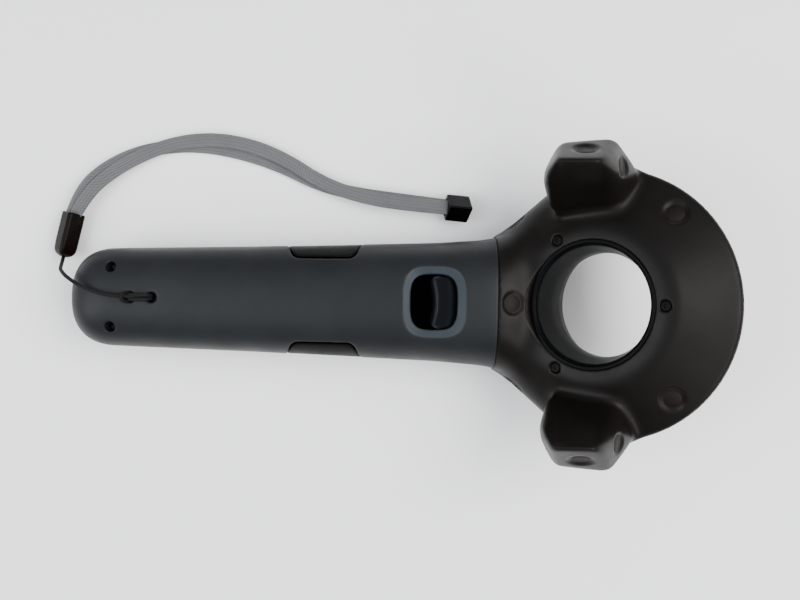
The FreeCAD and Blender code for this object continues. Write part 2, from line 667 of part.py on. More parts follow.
def trigger():
    """Finger lever: hub, web, curved face and a skirt that keeps the slot covered."""
    px, pz = TRIGGER_PIVOT
    outline = [
        Part.LineSegment(V(px - 3.0, 0, pz - 1.0), V(122.6, 0, 26.5)),
        Part.LineSegment(V(122.6, 0, 26.5), V(122.2, 0, 34.6)),
        Part.Arc(V(122.2, 0, 34.6), V(122.9, 0, 37.3), V(125.2, 0, 37.0)),
        Part.Arc(V(125.2, 0, 37.0), V(127.3, 0, 32.9), V(131.2, 0, 30.4)),
        Part.Arc(V(131.2, 0, 30.4), V(134.6, 0, 29.3), V(138.0, 0, 29.0)),
        Part.LineSegment(V(138.0, 0, 29.0), V(138.0, 0, 27.4)),
        Part.LineSegment(V(138.0, 0, 27.4), V(px + 3.2, 0, pz)),
        Part.LineSegment(V(px + 3.2, 0, pz), V(px - 3.0, 0, pz - 1.0)),
    ]
    face = Part.Face(Part.Wire([s.toShape() for s in outline]))
    face.translate(V(0, -TRIGGER_HALF_WIDTH, 0))
    lever = face.extrude(V(0, 2 * TRIGGER_HALF_WIDTH, 0))
    hub = across(TRIGGER_PIVOT, HUB_RADIUS, TRIGGER_HALF_WIDTH)
    lever = fused([lever, hub])
    plan = rounded_prism((TRIGGER_TIP_X, HANDLE_END), TRIGGER_HALF_WIDTH, (0, 60), TRIGGER_CORNER)
    lever = lever.common(plan).common(handle_solid(-TRIGGER_PROUD))
    spring_room = box((px - 4.5, px + 4.5), (-3.2, 3.2), (pz - 5.0, pz + 4.6))
    lever = lever.cut(spring_room)
    lever = lever.cut(across(TRIGGER_PIVOT, PIN_RADIUS + PIN_CLEARANCE, PIN_HALF_LENGTH))
    seat = across(MAGNET, MAGNET_RADIUS + MAGNET_PLAY, MAGNET_HALF_LENGTH + 2 * MAGNET_PLAY)
    return largest(lever.cut(seat))


def trigger_bracket():
    """U-shaped bracket whose two ears hold the pin."""
    px, pz = TRIGGER_PIVOT
    low = BRACKET_BASE[2][0]
    ears = []
    for y in (-EAR_Y - EAR_THICKNESS, EAR_Y):
        block = box((px - EAR_RADIUS, px + EAR_RADIUS), (y, y + EAR_THICKNESS), (low, pz))
        cap = rod(EAR_RADIUS, (px, y, pz), (px, y + EAR_THICKNESS, pz))
        ears.append(fused([block, cap]))
    bracket = fused([box(*BRACKET_BASE)] + ears)
    return bracket.cut(across(TRIGGER_PIVOT, PIN_RADIUS, PIN_HALF_LENGTH))


def trigger_spring():
    """Torsion spring on the pin, as touching turns with two straight legs."""
    px, pz = TRIGGER_PIVOT
    end, radius = SPRING_END_Y, SPRING_RADIUS
    turns = []
    for i in range(SPRING_TURNS):
        centre = V(px, i * SPRING_PITCH - end, pz)
        turns.append(Part.makeTorus(radius, SPRING_WIRE, centre, V(0, 1, 0)))
    lever_leg = rod(SPRING_WIRE, (px, end, pz + radius), (px - 3.6, end, pz + 3.4))
    fixed_leg = rod(SPRING_WIRE, (px, -end, pz - radius), (px + 6.5, -end, pz - 2.0))
    return fused(turns + [lever_leg, fixed_leg])


# ---- inside the handle --------------------------------------------------------------

def mid_chassis():
    """Plastic frame down the handle that carries battery, board and bracket."""
    blocks = [CHASSIS_PLATE, CHASSIS_RIB, CHASSIS_FOOT, CHASSIS_TAB, *CHASSIS_WINGS]
    solids = [box(*block) for block in blocks]
    solids.append(mirrored(box(*CHASSIS_TAB)))
    solids += [upright(x, y, 2.0, MAIN_BOARD[2][1], 11.0) for x, y in CHASSIS_SCREWS]
    solids += [upright(x, y, 1.2, BUTTON_BOARD[2][1], 11.0) for x, y in CHASSIS_POSTS]
    frame = fused(solids).cut(box(*CHASSIS_WINDOW)).cut(box(*CHASSIS_NOTCH))
    for x, y in CHASSIS_SCREWS:
        frame = frame.cut(upright(x, y, SCREW_PILOT, 8.0, 14.0))
    return frame


def chassis_screws():
    """Four screws that hold the main board to the chassis."""
    screws = []
    low = MAIN_BOARD[2][0]
    for x, y in CHASSIS_SCREWS:
        head = upright(x, y, 1.5, low - 1.0, low)
        shank = upright(x, y, SCREW_PILOT - 0.05, low - 0.1, 13.4)
        screws.append(fused([head, shank]))
    return Part.makeCompound(screws)


def main_board():
    """Main circuit board under the chassis."""
    notch = box(*BOARD_NOTCH)
    board = box(*MAIN_BOARD).cut(notch).cut(mirrored(notch))
    for x, y in CHASSIS_SCREWS:
        board = board.cut(upright(x, y, SCREW_PILOT, 6.0, 9.0))
    return board


def usb_port():
    """Small charging socket in the butt, open to the outside."""
    return fused([box(*SOCKET_SHELL).cut(box(*SOCKET_MOUTH)), box(*SOCKET_TONGUE)])


def battery():
    """Flat rechargeable cell on the chassis."""
    cell = box(*CELL)
    long_edges = [e for e in cell.Edges if e.BoundBox.XLength > 10]
    return cell.makeFillet(CELL_EDGE, long_edges)


def haptic_actuator():
    """Round vibration motor on the chassis."""
    x, radius, low, high = MOTOR
    can = upright(x, 0, radius, low, high)
    rim = [e for e in can.Edges if abs(e.BoundBox.ZMin - high) < 1e-6]
    return can.makeFillet(MOTOR_EDGE, rim[:1])


# ---- lanyard ------------------------------------------------------------------------

CORD_ROUTE = (
    (27.0, 0.4, 31.6), (20.5, 0.2, 32.4), (13.2, 1.0, 32.0), (7.0, 3.2, 31.0),
    (1.6, 6.2, 27.6), (-2.2, 8.6, 21.6), (-4.6, 10.2, 14.8), (-6.2, 11.6, 8.6), (-7.1, 13.7, 4.6),
)
CLIP_START = (-7.1, 13.7, 4.6)
CLIP_END = (-3.6, 29.2, 4.6)
CLIP_HALF = 3.2
CLIP_EDGE = 0.8
CLIP_END_EDGE = 1.6
STRAP_ROUTE = (
    (-3.6, 29.2, 4.6), (0.2, 36.4, 4.3), (7.4, 43.7, 3.3), (17.6, 50.2, 2.3), (30.4, 54.9, 1.5),
    (43.6, 55.9, 1.45), (56.8, 53.9, 1.5), (70.0, 49.4, 1.6), (84.0, 41.6, 2.2),
    (97.0, 37.6, 3.7), (112.0, 35.0, 4.9), (135.6, 33.1, 4.9),
)
STRAP_OFFSET = (-0.5, 0.5)
SLIDER_LENGTH = 9.4
SLIDER_HALF = 3.45
SLIDER_EDGE = 0.5
SLIDER_PLAY = 0.7          # room round the two legs, both sides together
SLIDER_OVERHANG = 1.6      # how far the slider reaches past the strap's end


def route_edges(points):
    """Straight runs joined by the largest fair arcs; also returns the radii."""
    edges = []
    radii = []
    start = points[0]
    for i in range(1, len(points) - 1):
        back = points[i - 1] - points[i]
        ahead = points[i + 1] - points[i]
        turn = math.pi - back.getAngle(ahead)
        trim = ARC_SHARE * min(back.Length, ahead.Length)
        radii.append(trim / math.tan(turn / 2))
        before = points[i] + back.normalize() * trim
        after = points[i] + ahead.normalize() * trim
        inward = (back + ahead).normalize()
        reach = radii[-1] / math.cos(turn / 2) - radii[-1]
        edges.append(Part.LineSegment(start, before).toShape())
        edges.append(Part.Arc(before, points[i] + inward * reach, after).toShape())
        start = after
    edges.append(Part.LineSegment(start, points[-1]).toShape())
    return edges, radii


def report_sweep(name, solid, area, path, radii):
    """Print a sweep's length, volume ratio and tightest radius."""
    length = path.Length
    ratio = solid.Volume / (area * length)
    print(name, "length %.1f" % length, "volume ratio %.4f" % ratio, "radii",
          " ".join("%.1f" % r for r in radii))


def lanyard_cord():
    """Thin cord over the butt to the clip."""
    edges, radii = route_edges([V(*p) for p in CORD_ROUTE])
    path = Part.Wire(edges)
    start = V(*CORD_ROUTE[0])
    direction = V(*CORD_ROUTE[1]) - start
    circle = Part.Wire([Part.makeCircle(CORD_DIAMETER / 2, start, direction)])
    solid = path.makePipeShell([circle], True, True)
    report_sweep("lanyard_cord", solid, math.pi * CORD_DIAMETER ** 2 / 4, path, radii)
    return solid


def strap_leg(index):
    """One flat leg of the strap, lying on the other."""
    middle = [V(*p) for p in STRAP_ROUTE]
    rise = (index - 0.5) * STRAP_STACK
    points = []
    for i, p in enumerate(middle):
        ahead = middle[min(i + 1, len(middle) - 1)] - middle[max(i - 1, 0)]
        side = V(-ahead.y, ahead.x, 0).normalize()
        points.append(p + side * STRAP_OFFSET[index] + V(0, 0, rise))
    edges, radii = route_edges(points)
    path = Part.Wire(edges)
    along = (points[1] - points[0]).normalize()
    side = V(-along.y, along.x, 0).normalize()
    up = along.cross(side).normalize()
    half, thick = side * (STRAP_WIDTH / 2), up * (STRAP_THICKNESS / 2)
    start = points[0]
    corners = [start + half + thick, start - half + thick, start - half - thick, start + half - thick]
    sweep = Part.BRepOffsetAPI.MakePipeShell(path)
    sweep.setBiNormalMode(V(0, 0, 1))
    sweep.add(Part.makePolygon(corners + corners[:1]))
    sweep.build()
    sweep.makeSolid()
    solid = sweep.shape()
    report_sweep("strap_leg", solid, STRAP_WIDTH * STRAP_THICKNESS, path, radii)
    return solid


def laid_along(shape, start, end):
    """Lay a shape made along +X from the origin from start towards end."""
    direction = V(*end) - V(*start)
    shape.rotate(V(0, 0, 0), V(1, 0, 0), 45)
    level = math.hypot(direction.x, direction.y)
    shape.rotate(V(0, 0, 0), V(0, 1, 0), -math.degrees(math.atan2(direction.z, level)))
    shape.rotate(V(0, 0, 0), V(0, 0, 1), math.degrees(math.atan2(direction.y, direction.x)))
    shape.translate(V(*start))
    return shape


def lanyard_clip():
    """Clip that joins the cord to the strap: a block turned on its edge."""
    length = (V(*CLIP_END) - V(*CLIP_START)).Length
    side = 2 * CLIP_HALF
    block = Part.makeBox(length, side, side, V(0, -CLIP_HALF, -CLIP_HALF))
    block = block.makeFillet(CLIP_EDGE, [e for e in block.Edges if e.BoundBox.XLength > 1])
    block = block.makeFillet(CLIP_END_EDGE, [e for e in block.Edges if e.BoundBox.XMax < 0.01])
    return laid_along(block, CLIP_START, CLIP_END)


def strap_slider():
    """Square slider over both legs of the strap, turned on its edge."""
    end, before = V(*STRAP_ROUTE[-1]), V(*STRAP_ROUTE[-2])
    along = (end - before).normalize()
    start = end - along * (SLIDER_LENGTH - SLIDER_OVERHANG)
    side = 2 * SLIDER_HALF
    block = Part.makeBox(SLIDER_LENGTH, side, side, V(0, -SLIDER_HALF, -SLIDER_HALF))
    block = block.makeFillet(SLIDER_EDGE, [e for e in block.Edges if e.BoundBox.XLength > 1])
    width = STRAP_WIDTH + abs(STRAP_OFFSET[1] - STRAP_OFFSET[0]) + SLIDER_PLAY
    height = STRAP_STACK + STRAP_THICKNESS + SLIDER_PLAY
    tunnel = Part.makeBox(SLIDER_LENGTH + 2, width, height, V(-1, -width / 2, -height / 2))
    tunnel.rotate(V(0, 0, 0), V(1, 0, 0), -45)
    return laid_along(block.cut(tunnel), start, end)


# ---- build --------------------------------------------------------------------------

def build():
    """Every node by name."""
    head_rear, head_front = head_shells()
    handle_rear, handle_front = handle_shells()
    nodes = {
        "handle_rear_shell": handle_rear,
        "handle_front_shell": handle_front,
        "head_rear_shell": head_rear,
        "head_front_shell": head_front,
        "bore_sleeve": bore_sleeve(),
        "ring_screws": ring_screws(),
        "butt_screws": butt_screws(),
        "sensor_frame": ring_plate(*SENSOR_FRAME),
        "sensor_modules": sensor_modules(),
        "head_board": ring_plate(*HEAD_BOARD),
        "neck_ribbon": box(*RIBBON),
        "trigger": trigger(),
        "trigger_magnet": across(MAGNET, MAGNET_RADIUS, MAGNET_HALF_LENGTH),
        "trigger_pin": across(TRIGGER_PIVOT, PIN_RADIUS, PIN_HALF_LENGTH),
        "trigger_bracket": trigger_bracket(),
        "trigger_spring": trigger_spring(),
        "trigger_sensor": fused([box(*SENSOR_BOARD), box(*SENSOR_CHIP)]),
        "grip_button_left": grip_button(1),
        "grip_button_right": grip_button(-1),
        "grip_switch_left": grip_switch(1),
        "grip_switch_right": grip_switch(-1),
        "trackpad": trackpad(),
        "trackpad_board": upright(TRACKPAD_X, 0, *TRACKPAD_BOARD),
        "trackpad_dome": trackpad_dome(),
        "menu_button": push_button(MENU_X, MENU_RADIUS),
        "menu_switch": push_switch(MENU_X, 8.0),
        "system_button": push_button(SYSTEM_X, SYSTEM_RADIUS),
        "system_switch": push_switch(SYSTEM_X, 6.0),
        "button_board": box(*BUTTON_BOARD),
        "status_led": status_led(),
        "mid_chassis": mid_chassis(),
        "chassis_screws": chassis_screws(),
        "main_board": main_board(),
        "main_board_chips": Part.makeCompound([box(*chip) for chip in CHIPS]),
        "usb_port": usb_port(),
        "battery": battery(),
        "battery_pad": box(*CELL_PAD),
        "battery_lead": box(*CELL_LEAD),
        "haptic_actuator": haptic_actuator(),
        "lanyard_cord": lanyard_cord(),
        "lanyard_clip": lanyard_clip(),
        "strap_leg_a": strap_leg(0),
        "strap_leg_b": strap_leg(1),
        "strap_slider": strap_slider(),
    }
    return nodes


os.makedirs("parts", exist_ok=True)
for name, shape in build().items():
    shape.translate(V(-ORIGIN_X, 0, 0))
    shape.exportStep("parts/" + name + ".step")
    limits = shape.optimalBoundingBox(False)
    print("%-20s solids %d valid %s volume %.1f box %.1f..%.1f %.1f..%.1f %.1f..%.1f" % (
        name, len(shape.Solids), shape.isValid(), shape.Volume, limits.XMin, limits.XMax,
        limits.YMin, limits.YMax, limits.ZMin, limits.ZMax))
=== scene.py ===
import json
import math
from itertools import combinations

import bmesh
import bpy
import numpy as np
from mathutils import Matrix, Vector


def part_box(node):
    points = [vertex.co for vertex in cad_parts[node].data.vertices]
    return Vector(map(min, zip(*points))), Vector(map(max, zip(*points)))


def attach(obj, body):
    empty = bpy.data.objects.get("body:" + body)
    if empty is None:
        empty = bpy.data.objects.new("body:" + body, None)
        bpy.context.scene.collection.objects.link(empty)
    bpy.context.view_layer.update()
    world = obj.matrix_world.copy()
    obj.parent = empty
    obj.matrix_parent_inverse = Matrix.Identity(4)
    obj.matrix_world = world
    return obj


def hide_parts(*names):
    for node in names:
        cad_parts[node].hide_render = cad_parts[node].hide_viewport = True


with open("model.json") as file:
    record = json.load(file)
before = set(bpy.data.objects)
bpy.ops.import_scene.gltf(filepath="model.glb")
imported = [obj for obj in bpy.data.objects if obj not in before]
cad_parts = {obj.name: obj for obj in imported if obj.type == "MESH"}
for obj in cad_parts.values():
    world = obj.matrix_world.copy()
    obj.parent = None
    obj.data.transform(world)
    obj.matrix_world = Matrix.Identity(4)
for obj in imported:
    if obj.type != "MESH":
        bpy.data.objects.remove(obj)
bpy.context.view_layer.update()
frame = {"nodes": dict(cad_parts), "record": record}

# Looks of the VR motion controller. Lengths here are millimetres counted from the butt,
# as in the CAD part, until a mesh is made: place() turns them into metres in the frame.

nodes = frame["nodes"]
ROOT = "controller"
MM = 0.001
# The front handle shell ends this far from the butt, in metres.
FRONT_SHELL_END = 0.14495
BUTT_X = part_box("handle_front_shell")[1].x - FRONT_SHELL_END

# ---- sizes of the handle and the head, in millimetres ----

WALL = 2.2
SEAM_Z = 14.5
SEAM_GAP = 0.06
HANDLE_END = 145.0
BUTT_LENGTH = 15.5
BUTT_POWER = 2.5
# Half width, top and bottom of the handle and neck at stations along them.
STATIONS = (0, 60, 100, 125, 140, 145, 148, 152, 157, 163, 170, 176)
HALF_WIDTHS = (16.5, 18.1, 19.4, 20.3, 21.4, 22.2, 23.4, 26.1, 30.4, 36.0, 41.5, 46.0)
TOPS = (27.0, 29.5, 32.5, 34.3, 35.0, 35.0, 34.4, 32.8, 30.8, 30.6, 31.0, 32.0)
BOTTOMS = (0, 0, 0, 0, 0, 0, 0, 0.6, 2.4, 6.0, 11.0, 15.0)
# The body's own form stops here, inside the ring.
NECK_END = 172.0
# Centre, half size and power of the trigger's bezel and opening.
BEZEL = ((124.2, 0.0), (10.3, 11.7), 3.3)
OPENING = ((123.9, 0.0), (7.7, 9.1), 3.4)
# Where the section is widest, how far it dips below the flat, and its powers.
SECTION_MIDDLE = 0.48
SECTION_DIP = 0.7
POWER_LOW = 3.2
POWER_HIGH = 2.35

RING_TILT = math.radians(31.0)
RING_COS, RING_SIN = math.cos(RING_TILT), math.sin(RING_TILT)
RING_AXIS = np.array((-RING_SIN, 0.0, RING_COS))
RING_CENTRE = np.array((173.8, 0.0, 40.0))
RING_DEPTH = 27.5
EDGE_RADIUS = 44.9
SEAM_DEPTH = 12.2
SLEEVE_WALL = 1.6
# Corners of the ring's section, as (radius, depth).
RIM_MIDDLE = (0.0, 0.0)
RIM_OUTER = (26.0, 0.3)
CRESCENT_EDGE = (44.5, 10.6)
LOWER_EDGE = (44.7, 13.8)
LOWER_FOOT = (27.0, 26.4)
BORE_DEPTHS = (-30.0, 0.0, 11.0, 16.0, 27.5, 60.0)
BORE_RADII = (19.5, 19.5, 17.2, 17.2, 20.5, 20.5)
# Half width of the neck in plan, which trims the ring.
PLAN_X = (145.0, 148.0, 152.0, 163.0, 173.0, 174.0, 260.0)
PLAN_Y = (22.2, 23.4, 26.1, 36.0, 46.0, 60.0, 60.0)

# Corners of the lobe on the +Y side.
LOBE = (
    (157.8, 42.6, 65.6), (172.6, 42.6, 66.0), (185.5, 35.3, 42.0), (182.6, 28.2, 36.5),
    (162.0, 29.4, 31.0), (161.2, 51.0, 48.0), (178.9, 53.2, 48.0), (190.0, 42.5, 38.0),
    (156.0, 40.0, 50.0), (160.0, 44.0, 24.0), (184.0, 44.0, 27.0),
)
LOBE_ROUNDING = 2.6
LOBE_FILLET = 4.0

# Radius of a dimple at its lip and floor, and its depth.
SENSOR_RADIUS = 4.6
SENSOR_FLOOR = 3.0
SENSOR_DEPTH = 0.8
# Nothing of a dimple is cut further off than this.
DIMPLE_REACH = 12.0

RING_SCREW_RADIUS = 24.0
RING_SCREW_ANGLES = (0.0, 120.0, 240.0)
RING_SCREW_SEAT = 0.65
BUTT_SCREW_X = 15.8
BUTT_SCREW_SIDES = (-10.0, 10.0)
BUTT_SCREW_HEAD_Z = 21.6
SCREW_SEAT_RADIUS = 1.8


def place(points):
    """Millimetres from the butt to metres in the frame."""
    out = np.array(points, float) * MM
    out[..., 0] += BUTT_X
    return out


def new_object(name, data):
    """New object in the scene."""
    obj = bpy.data.objects.new(name, data)
    bpy.context.scene.collection.objects.link(obj)
    return obj


# ---- camera, light and floor ----

# All of this section is in metres.
CAMERA_HEIGHT = 0.360
CAMERA_ROLL = math.radians(-0.95)
CAMERA_PLACE = (BUTT_X + 0.1128, 0.0005, CAMERA_HEIGHT)
LENS_MM = 45.0
SENSOR_MM = 36.0


def add_camera():
    """Camera straight above, with the butt at the left."""
    data = bpy.data.cameras.new("camera")
    data.lens = LENS_MM
    data.sensor_width = SENSOR_MM
    camera = new_object("camera", data)
    camera.location = CAMERA_PLACE
    camera.rotation_euler = (0.0, 0.0, -CAMERA_ROLL)
    bpy.context.scene.camera = camera


LAMP_AIM = (0.0, 0.0, 0.02)
# Name, place, size and power of each lamp.
LAMPS = (
    ("key", (0.50, 0.10, 0.70), (0.6, 0.6), 9.0),
    ("side", (-0.5, -0.1, 0.45), (0.4, 0.6), 4.0),
    ("front", (0.45, -0.45, 0.6), (0.4, 0.4), 2.5),
)


def add_area(name, location, size, power):
    """Soft rectangular light aimed at the object."""
    data = bpy.data.lights.new(name, "AREA")
    data.shape = "RECTANGLE"
    data.size, data.size_y = size
    data.energy = power
    lamp = new_object(name, data)
    lamp.location = location
    direction = Vector(LAMP_AIM) - Vector(location)
    lamp.rotation_euler = direction.to_track_quat("-Z", "Y").to_euler()


# Sky colours by height, from the horizon and below to straight above.
SKY_COOL = ((0.0, (0.09, 0.08, 0.07)), (0.35, (0.16, 0.15, 0.14)), (0.68, (0.46, 0.53, 0.62)),
            (0.92, (0.96, 1.06, 1.20)), (0.985, (0.42, 0.44, 0.47)))
SKY_WARM = ((0.0, (0.09, 0.08, 0.07)), (0.35, (0.26, 0.22, 0.19)), (0.68, (0.66, 0.60, 0.56)),
            (0.92, (0.94, 0.92, 0.92)), (0.985, (0.42, 0.42, 0.43)))

# The sky turns from cool to warm between these two values of X.
SKY_TURN = (-0.35, 0.45)
SKY_STRENGTH = 1.5
FLOOR_REACH = 30.0
FLOOR_DROP = 0.0002
FLOOR_WHITE = 0.95


def add_sky():
    """World light, brightest high up, and warmer towards the head."""
    world = bpy.data.worlds.new("studio")
    bpy.context.scene.world = world
    world.use_nodes = True
    tree = world.node_tree
    split = add_split(tree, "Generated")
    cool = add_ramp(tree, split["Z"], SKY_COOL)
    warm = add_ramp(tree, split["Z"], SKY_WARM)
    start, end = SKY_TURN
    lean = add_node(tree, "MapRange", {"Value": split["X"], "From Min": start, "From Max": end})
    both = mix_colours(tree, lean.outputs["Result"], cool, warm)
    fill(tree, tree.nodes["Background"], {"Color": both, "Strength": SKY_STRENGTH})


def add_floor():
    """Plain pale floor just under the object."""
    mesh = bpy.data.meshes.new("floor")
    reach = FLOOR_REACH
    corners = [(-reach, -reach, 0), (reach, -reach, 0), (reach, reach, 0), (-reach, reach, 0)]
    mesh.from_pydata(corners, [], [(0, 1, 2, 3)])
    floor = new_object("floor", mesh)
    floor.location.z = -FLOOR_DROP
    paper, tree, shader = new_material("floor_paper")
    fill(tree, shader, {"Base Color": (*grey(FLOOR_WHITE), 1.0), "Roughness": 0.9})
    mesh.materials.append(paper)


# ---- materials ----

def new_material(name):
    """New material with its node tree and shader."""
    material = bpy.data.materials.new(name)
    material.use_nodes = True
    tree = material.node_tree
    return material, tree, tree.nodes["Principled BSDF"]


def fill(tree, node, inputs):
    """Give a node's inputs their values; a socket of another node is linked."""
    for name, value in inputs.items():
        if isinstance(value, bpy.types.NodeSocket):
            tree.links.new(value, node.inputs[name])
        else:
            node.inputs[name].default_value = value


def add_node(tree, kind, inputs):
    """New shader node with its inputs filled."""
    node = tree.nodes.new("ShaderNode" + kind)
    fill(tree, node, inputs)
    return node


def add_place(tree, kind):
    """One kind of texture coordinate."""
    return add_node(tree, "TexCoord", {}).outputs[kind]


def add_split(tree, kind):
    """X, Y and Z of one kind of texture coordinate."""
    return add_node(tree, "SeparateXYZ", {"Vector": add_place(tree, kind)}).outputs


def add_bump(tree, height, strength, distance):
    """Normal bumped by a height."""
    inputs = {"Strength": strength, "Distance": distance, "Height": height}
    return add_node(tree, "Bump", inputs).outputs["Normal"]


def add_noise(tree, scale, detail, rough, stretch=(1.0, 1.0, 1.0)):
    """Noise over the object's own coordinates, in features per metre."""
    where = add_node(tree, "Mapping", {"Scale": stretch, "Vector": add_place(tree, "Object")})
    inputs = {"Scale": scale, "Detail": detail, "Roughness": rough, "Vector": where.outputs["Vector"]}
    return add_node(tree, "TexNoise", inputs).outputs["Fac"]


def add_ramp(tree, source, stops):
    """Colour ramp with (position, colour) stops."""
    ramp = add_node(tree, "ValToRGB", {"Fac": source})
    elements = ramp.color_ramp.elements
    while len(elements) < len(stops):
        elements.new(0.5)
    for element, (position, colour) in zip(elements, stops):
        element.position = position
        element.color = (*colour, 1.0)
    return ramp.outputs["Color"]


def add_math(tree, operation, a, b):
    """Math node over sockets or numbers."""
    node = add_node(tree, "Math", {0: a, 1: b})
    node.operation = operation
    return node.outputs[0]


def mix_colours(tree, factor, a, b, blend="MIX"):
    """Mix of two colours; each of the three is a socket or a plain value."""
    mix = add_node(tree, "Mix", {})
    mix.data_type = "RGBA"
    mix.blend_type = blend
    fill(tree, mix, {"Factor": factor, "A": a, "B": b})
    return mix.outputs["Result"]


def grey(value):
    """Grey as a colour."""
    return (value, value, value)


PIT_DEPTH = 0.00006
RUB_COLOUR = (0.16, 0.14, 0.13, 1.0)


def moulded(name, dark, light, roughness, grain, bump, gloss, patches=35.0, scratches=0.0):
    """Moulded plastic: fine spark-eroded grain, soft colour patches and, if asked, rub marks."""
    material, tree, shader = new_material(name)
    colour = add_ramp(tree, add_noise(tree, patches, 3.0, 0.6), [(0.3, dark), (0.72, light)])
    if scratches:
        lines = add_noise(tree, 260.0, 3.0, 0.7, (1.0, 0.06, 1.0))
        marks = add_ramp(tree, lines, [(0.66, grey(0.0)), (0.70, grey(scratches))])
        colour = mix_colours(tree, marks, colour, RUB_COLOUR)
    low, high = max(roughness - 0.06, 0.02), min(roughness + 0.07, 1.0)
    uneven = add_noise(tree, patches * 2.3, 4.0, 0.65)
    rough = add_ramp(tree, uneven, [(0.3, grey(low)), (0.7, grey(high))])
    pits = add_bump(tree, add_noise(tree, grain, 2.0, 0.6), bump, PIT_DEPTH)
    fill(tree, shader, {
        "Base Color": colour, "Roughness": rough, "Normal": pits, "Specular IOR Level": gloss})
    return material


def metal(name, colour, roughness, streak=(1.0, 8.0, 1.0)):
    """Stamped or turned metal with fine streaks."""
    material, tree, shader = new_material(name)
    noise = add_noise(tree, 900.0, 3.0, 0.6, streak)
    dark = tuple(0.75 * c for c in colour)
    rough = add_ramp(tree, noise, [(0.3, grey(roughness * 0.8)), (0.7, grey(roughness * 1.3))])
    fill(tree, shader, {
        "Metallic": 1.0, "Base Color": add_ramp(tree, noise, [(0.3, dark), (0.7, colour)]),
        "Roughness": rough})
    return material


def circuit(name):
    """Solder mask with copper traces just showing through."""
    material, tree, shader = new_material(name)
    cells = add_node(tree, "TexBrick", {
        "Scale": 420.0, "Mortar Size": 0.03, "Vector": add_place(tree, "Object"),
        "Color1": (0.008, 0.09, 0.035, 1.0), "Color2": (0.01, 0.12, 0.05, 1.0),
        "Mortar": (0.03, 0.22, 0.09, 1.0)})
    fill(tree, shader, {"Base Color": cells.outputs["Color"], "Roughness": 0.32})
    return material


WEAVE_DEPTH = 0.0003


def woven(name, dark, light, pitch):
    """Braided tape: rows of small stitches, from the mesh's own UV, which is in metres."""
    material, tree, shader = new_material(name)
    split = add_split(tree, "UV")

    def wave(axis, scale, other=None, skew=0.0):
        """Even ridges across one axis, or slanting with another."""
        value = add_math(tree, "MULTIPLY", split[axis], scale)
        if other:
            value = add_math(tree, "ADD", value, add_math(tree, "MULTIPLY", split[other], skew))
        return add_math(tree, "ABSOLUTE", add_math(tree, "SINE", value, 0.0), 0.0)

    along = wave("X", math.pi / pitch, "Y", 0.9 * math.pi / pitch)
    across = wave("Y", math.pi / (pitch * 1.5))
    both = add_math(tree, "ADD", add_math(tree, "MULTIPLY", along, 0.76),
                    add_math(tree, "MULTIPLY", across, 0.24))
    colour = add_ramp(tree, both, [(0.25, dark), (0.7, light)])
    tone = add_ramp(tree, add_noise(tree, 90.0, 3.0, 0.6), [(0.3, grey(0.72)), (0.7, grey(1.0))])
    fill(tree, shader, {
        "Base Color": mix_colours(tree, 0.5, colour, tone, "MULTIPLY"), "Roughness": 0.85,
        "Normal": add_bump(tree, both, 0.7, WEAVE_DEPTH), "Sheen Weight": 0.25})
    return material


# Painted sheen: the bezel's smoother finish catches more light, so its area is painted lighter and
# bluish.
BEZEL_SHEEN_COLOUR = (0.022, 0.028, 0.034, 1.0)


def with_bezel_sheen(material):
    """Adds a painted sheen: a lighter, bluish colour inside the trigger's bezel outline."""
    tree = material.node_tree
    shader = tree.nodes["Principled BSDF"]
    split = add_split(tree, "Object")
    (cx, cy), (ax, ay), power = BEZEL
    total = None
    for axis, middle, half in (("X", BUTT_X + cx * MM, ax * MM), ("Y", cy * MM, ay * MM)):
        share = add_math(tree, "DIVIDE", add_math(tree, "SUBTRACT", split[axis], middle), half)
        raised = add_math(tree, "POWER", add_math(tree, "ABSOLUTE", share, 0.0), power)
        total = raised if total is None else add_math(tree, "ADD", total, raised)
    # The bezel's area, where the painted sheen goes.
    inside = add_math(tree, "LESS_THAN", total, 1.0)
    plain = shader.inputs["Base Color"].links[0].from_socket
    fill(tree, shader, {"Base Color": mix_colours(tree, inside, plain, BEZEL_SHEEN_COLOUR)})
    return material


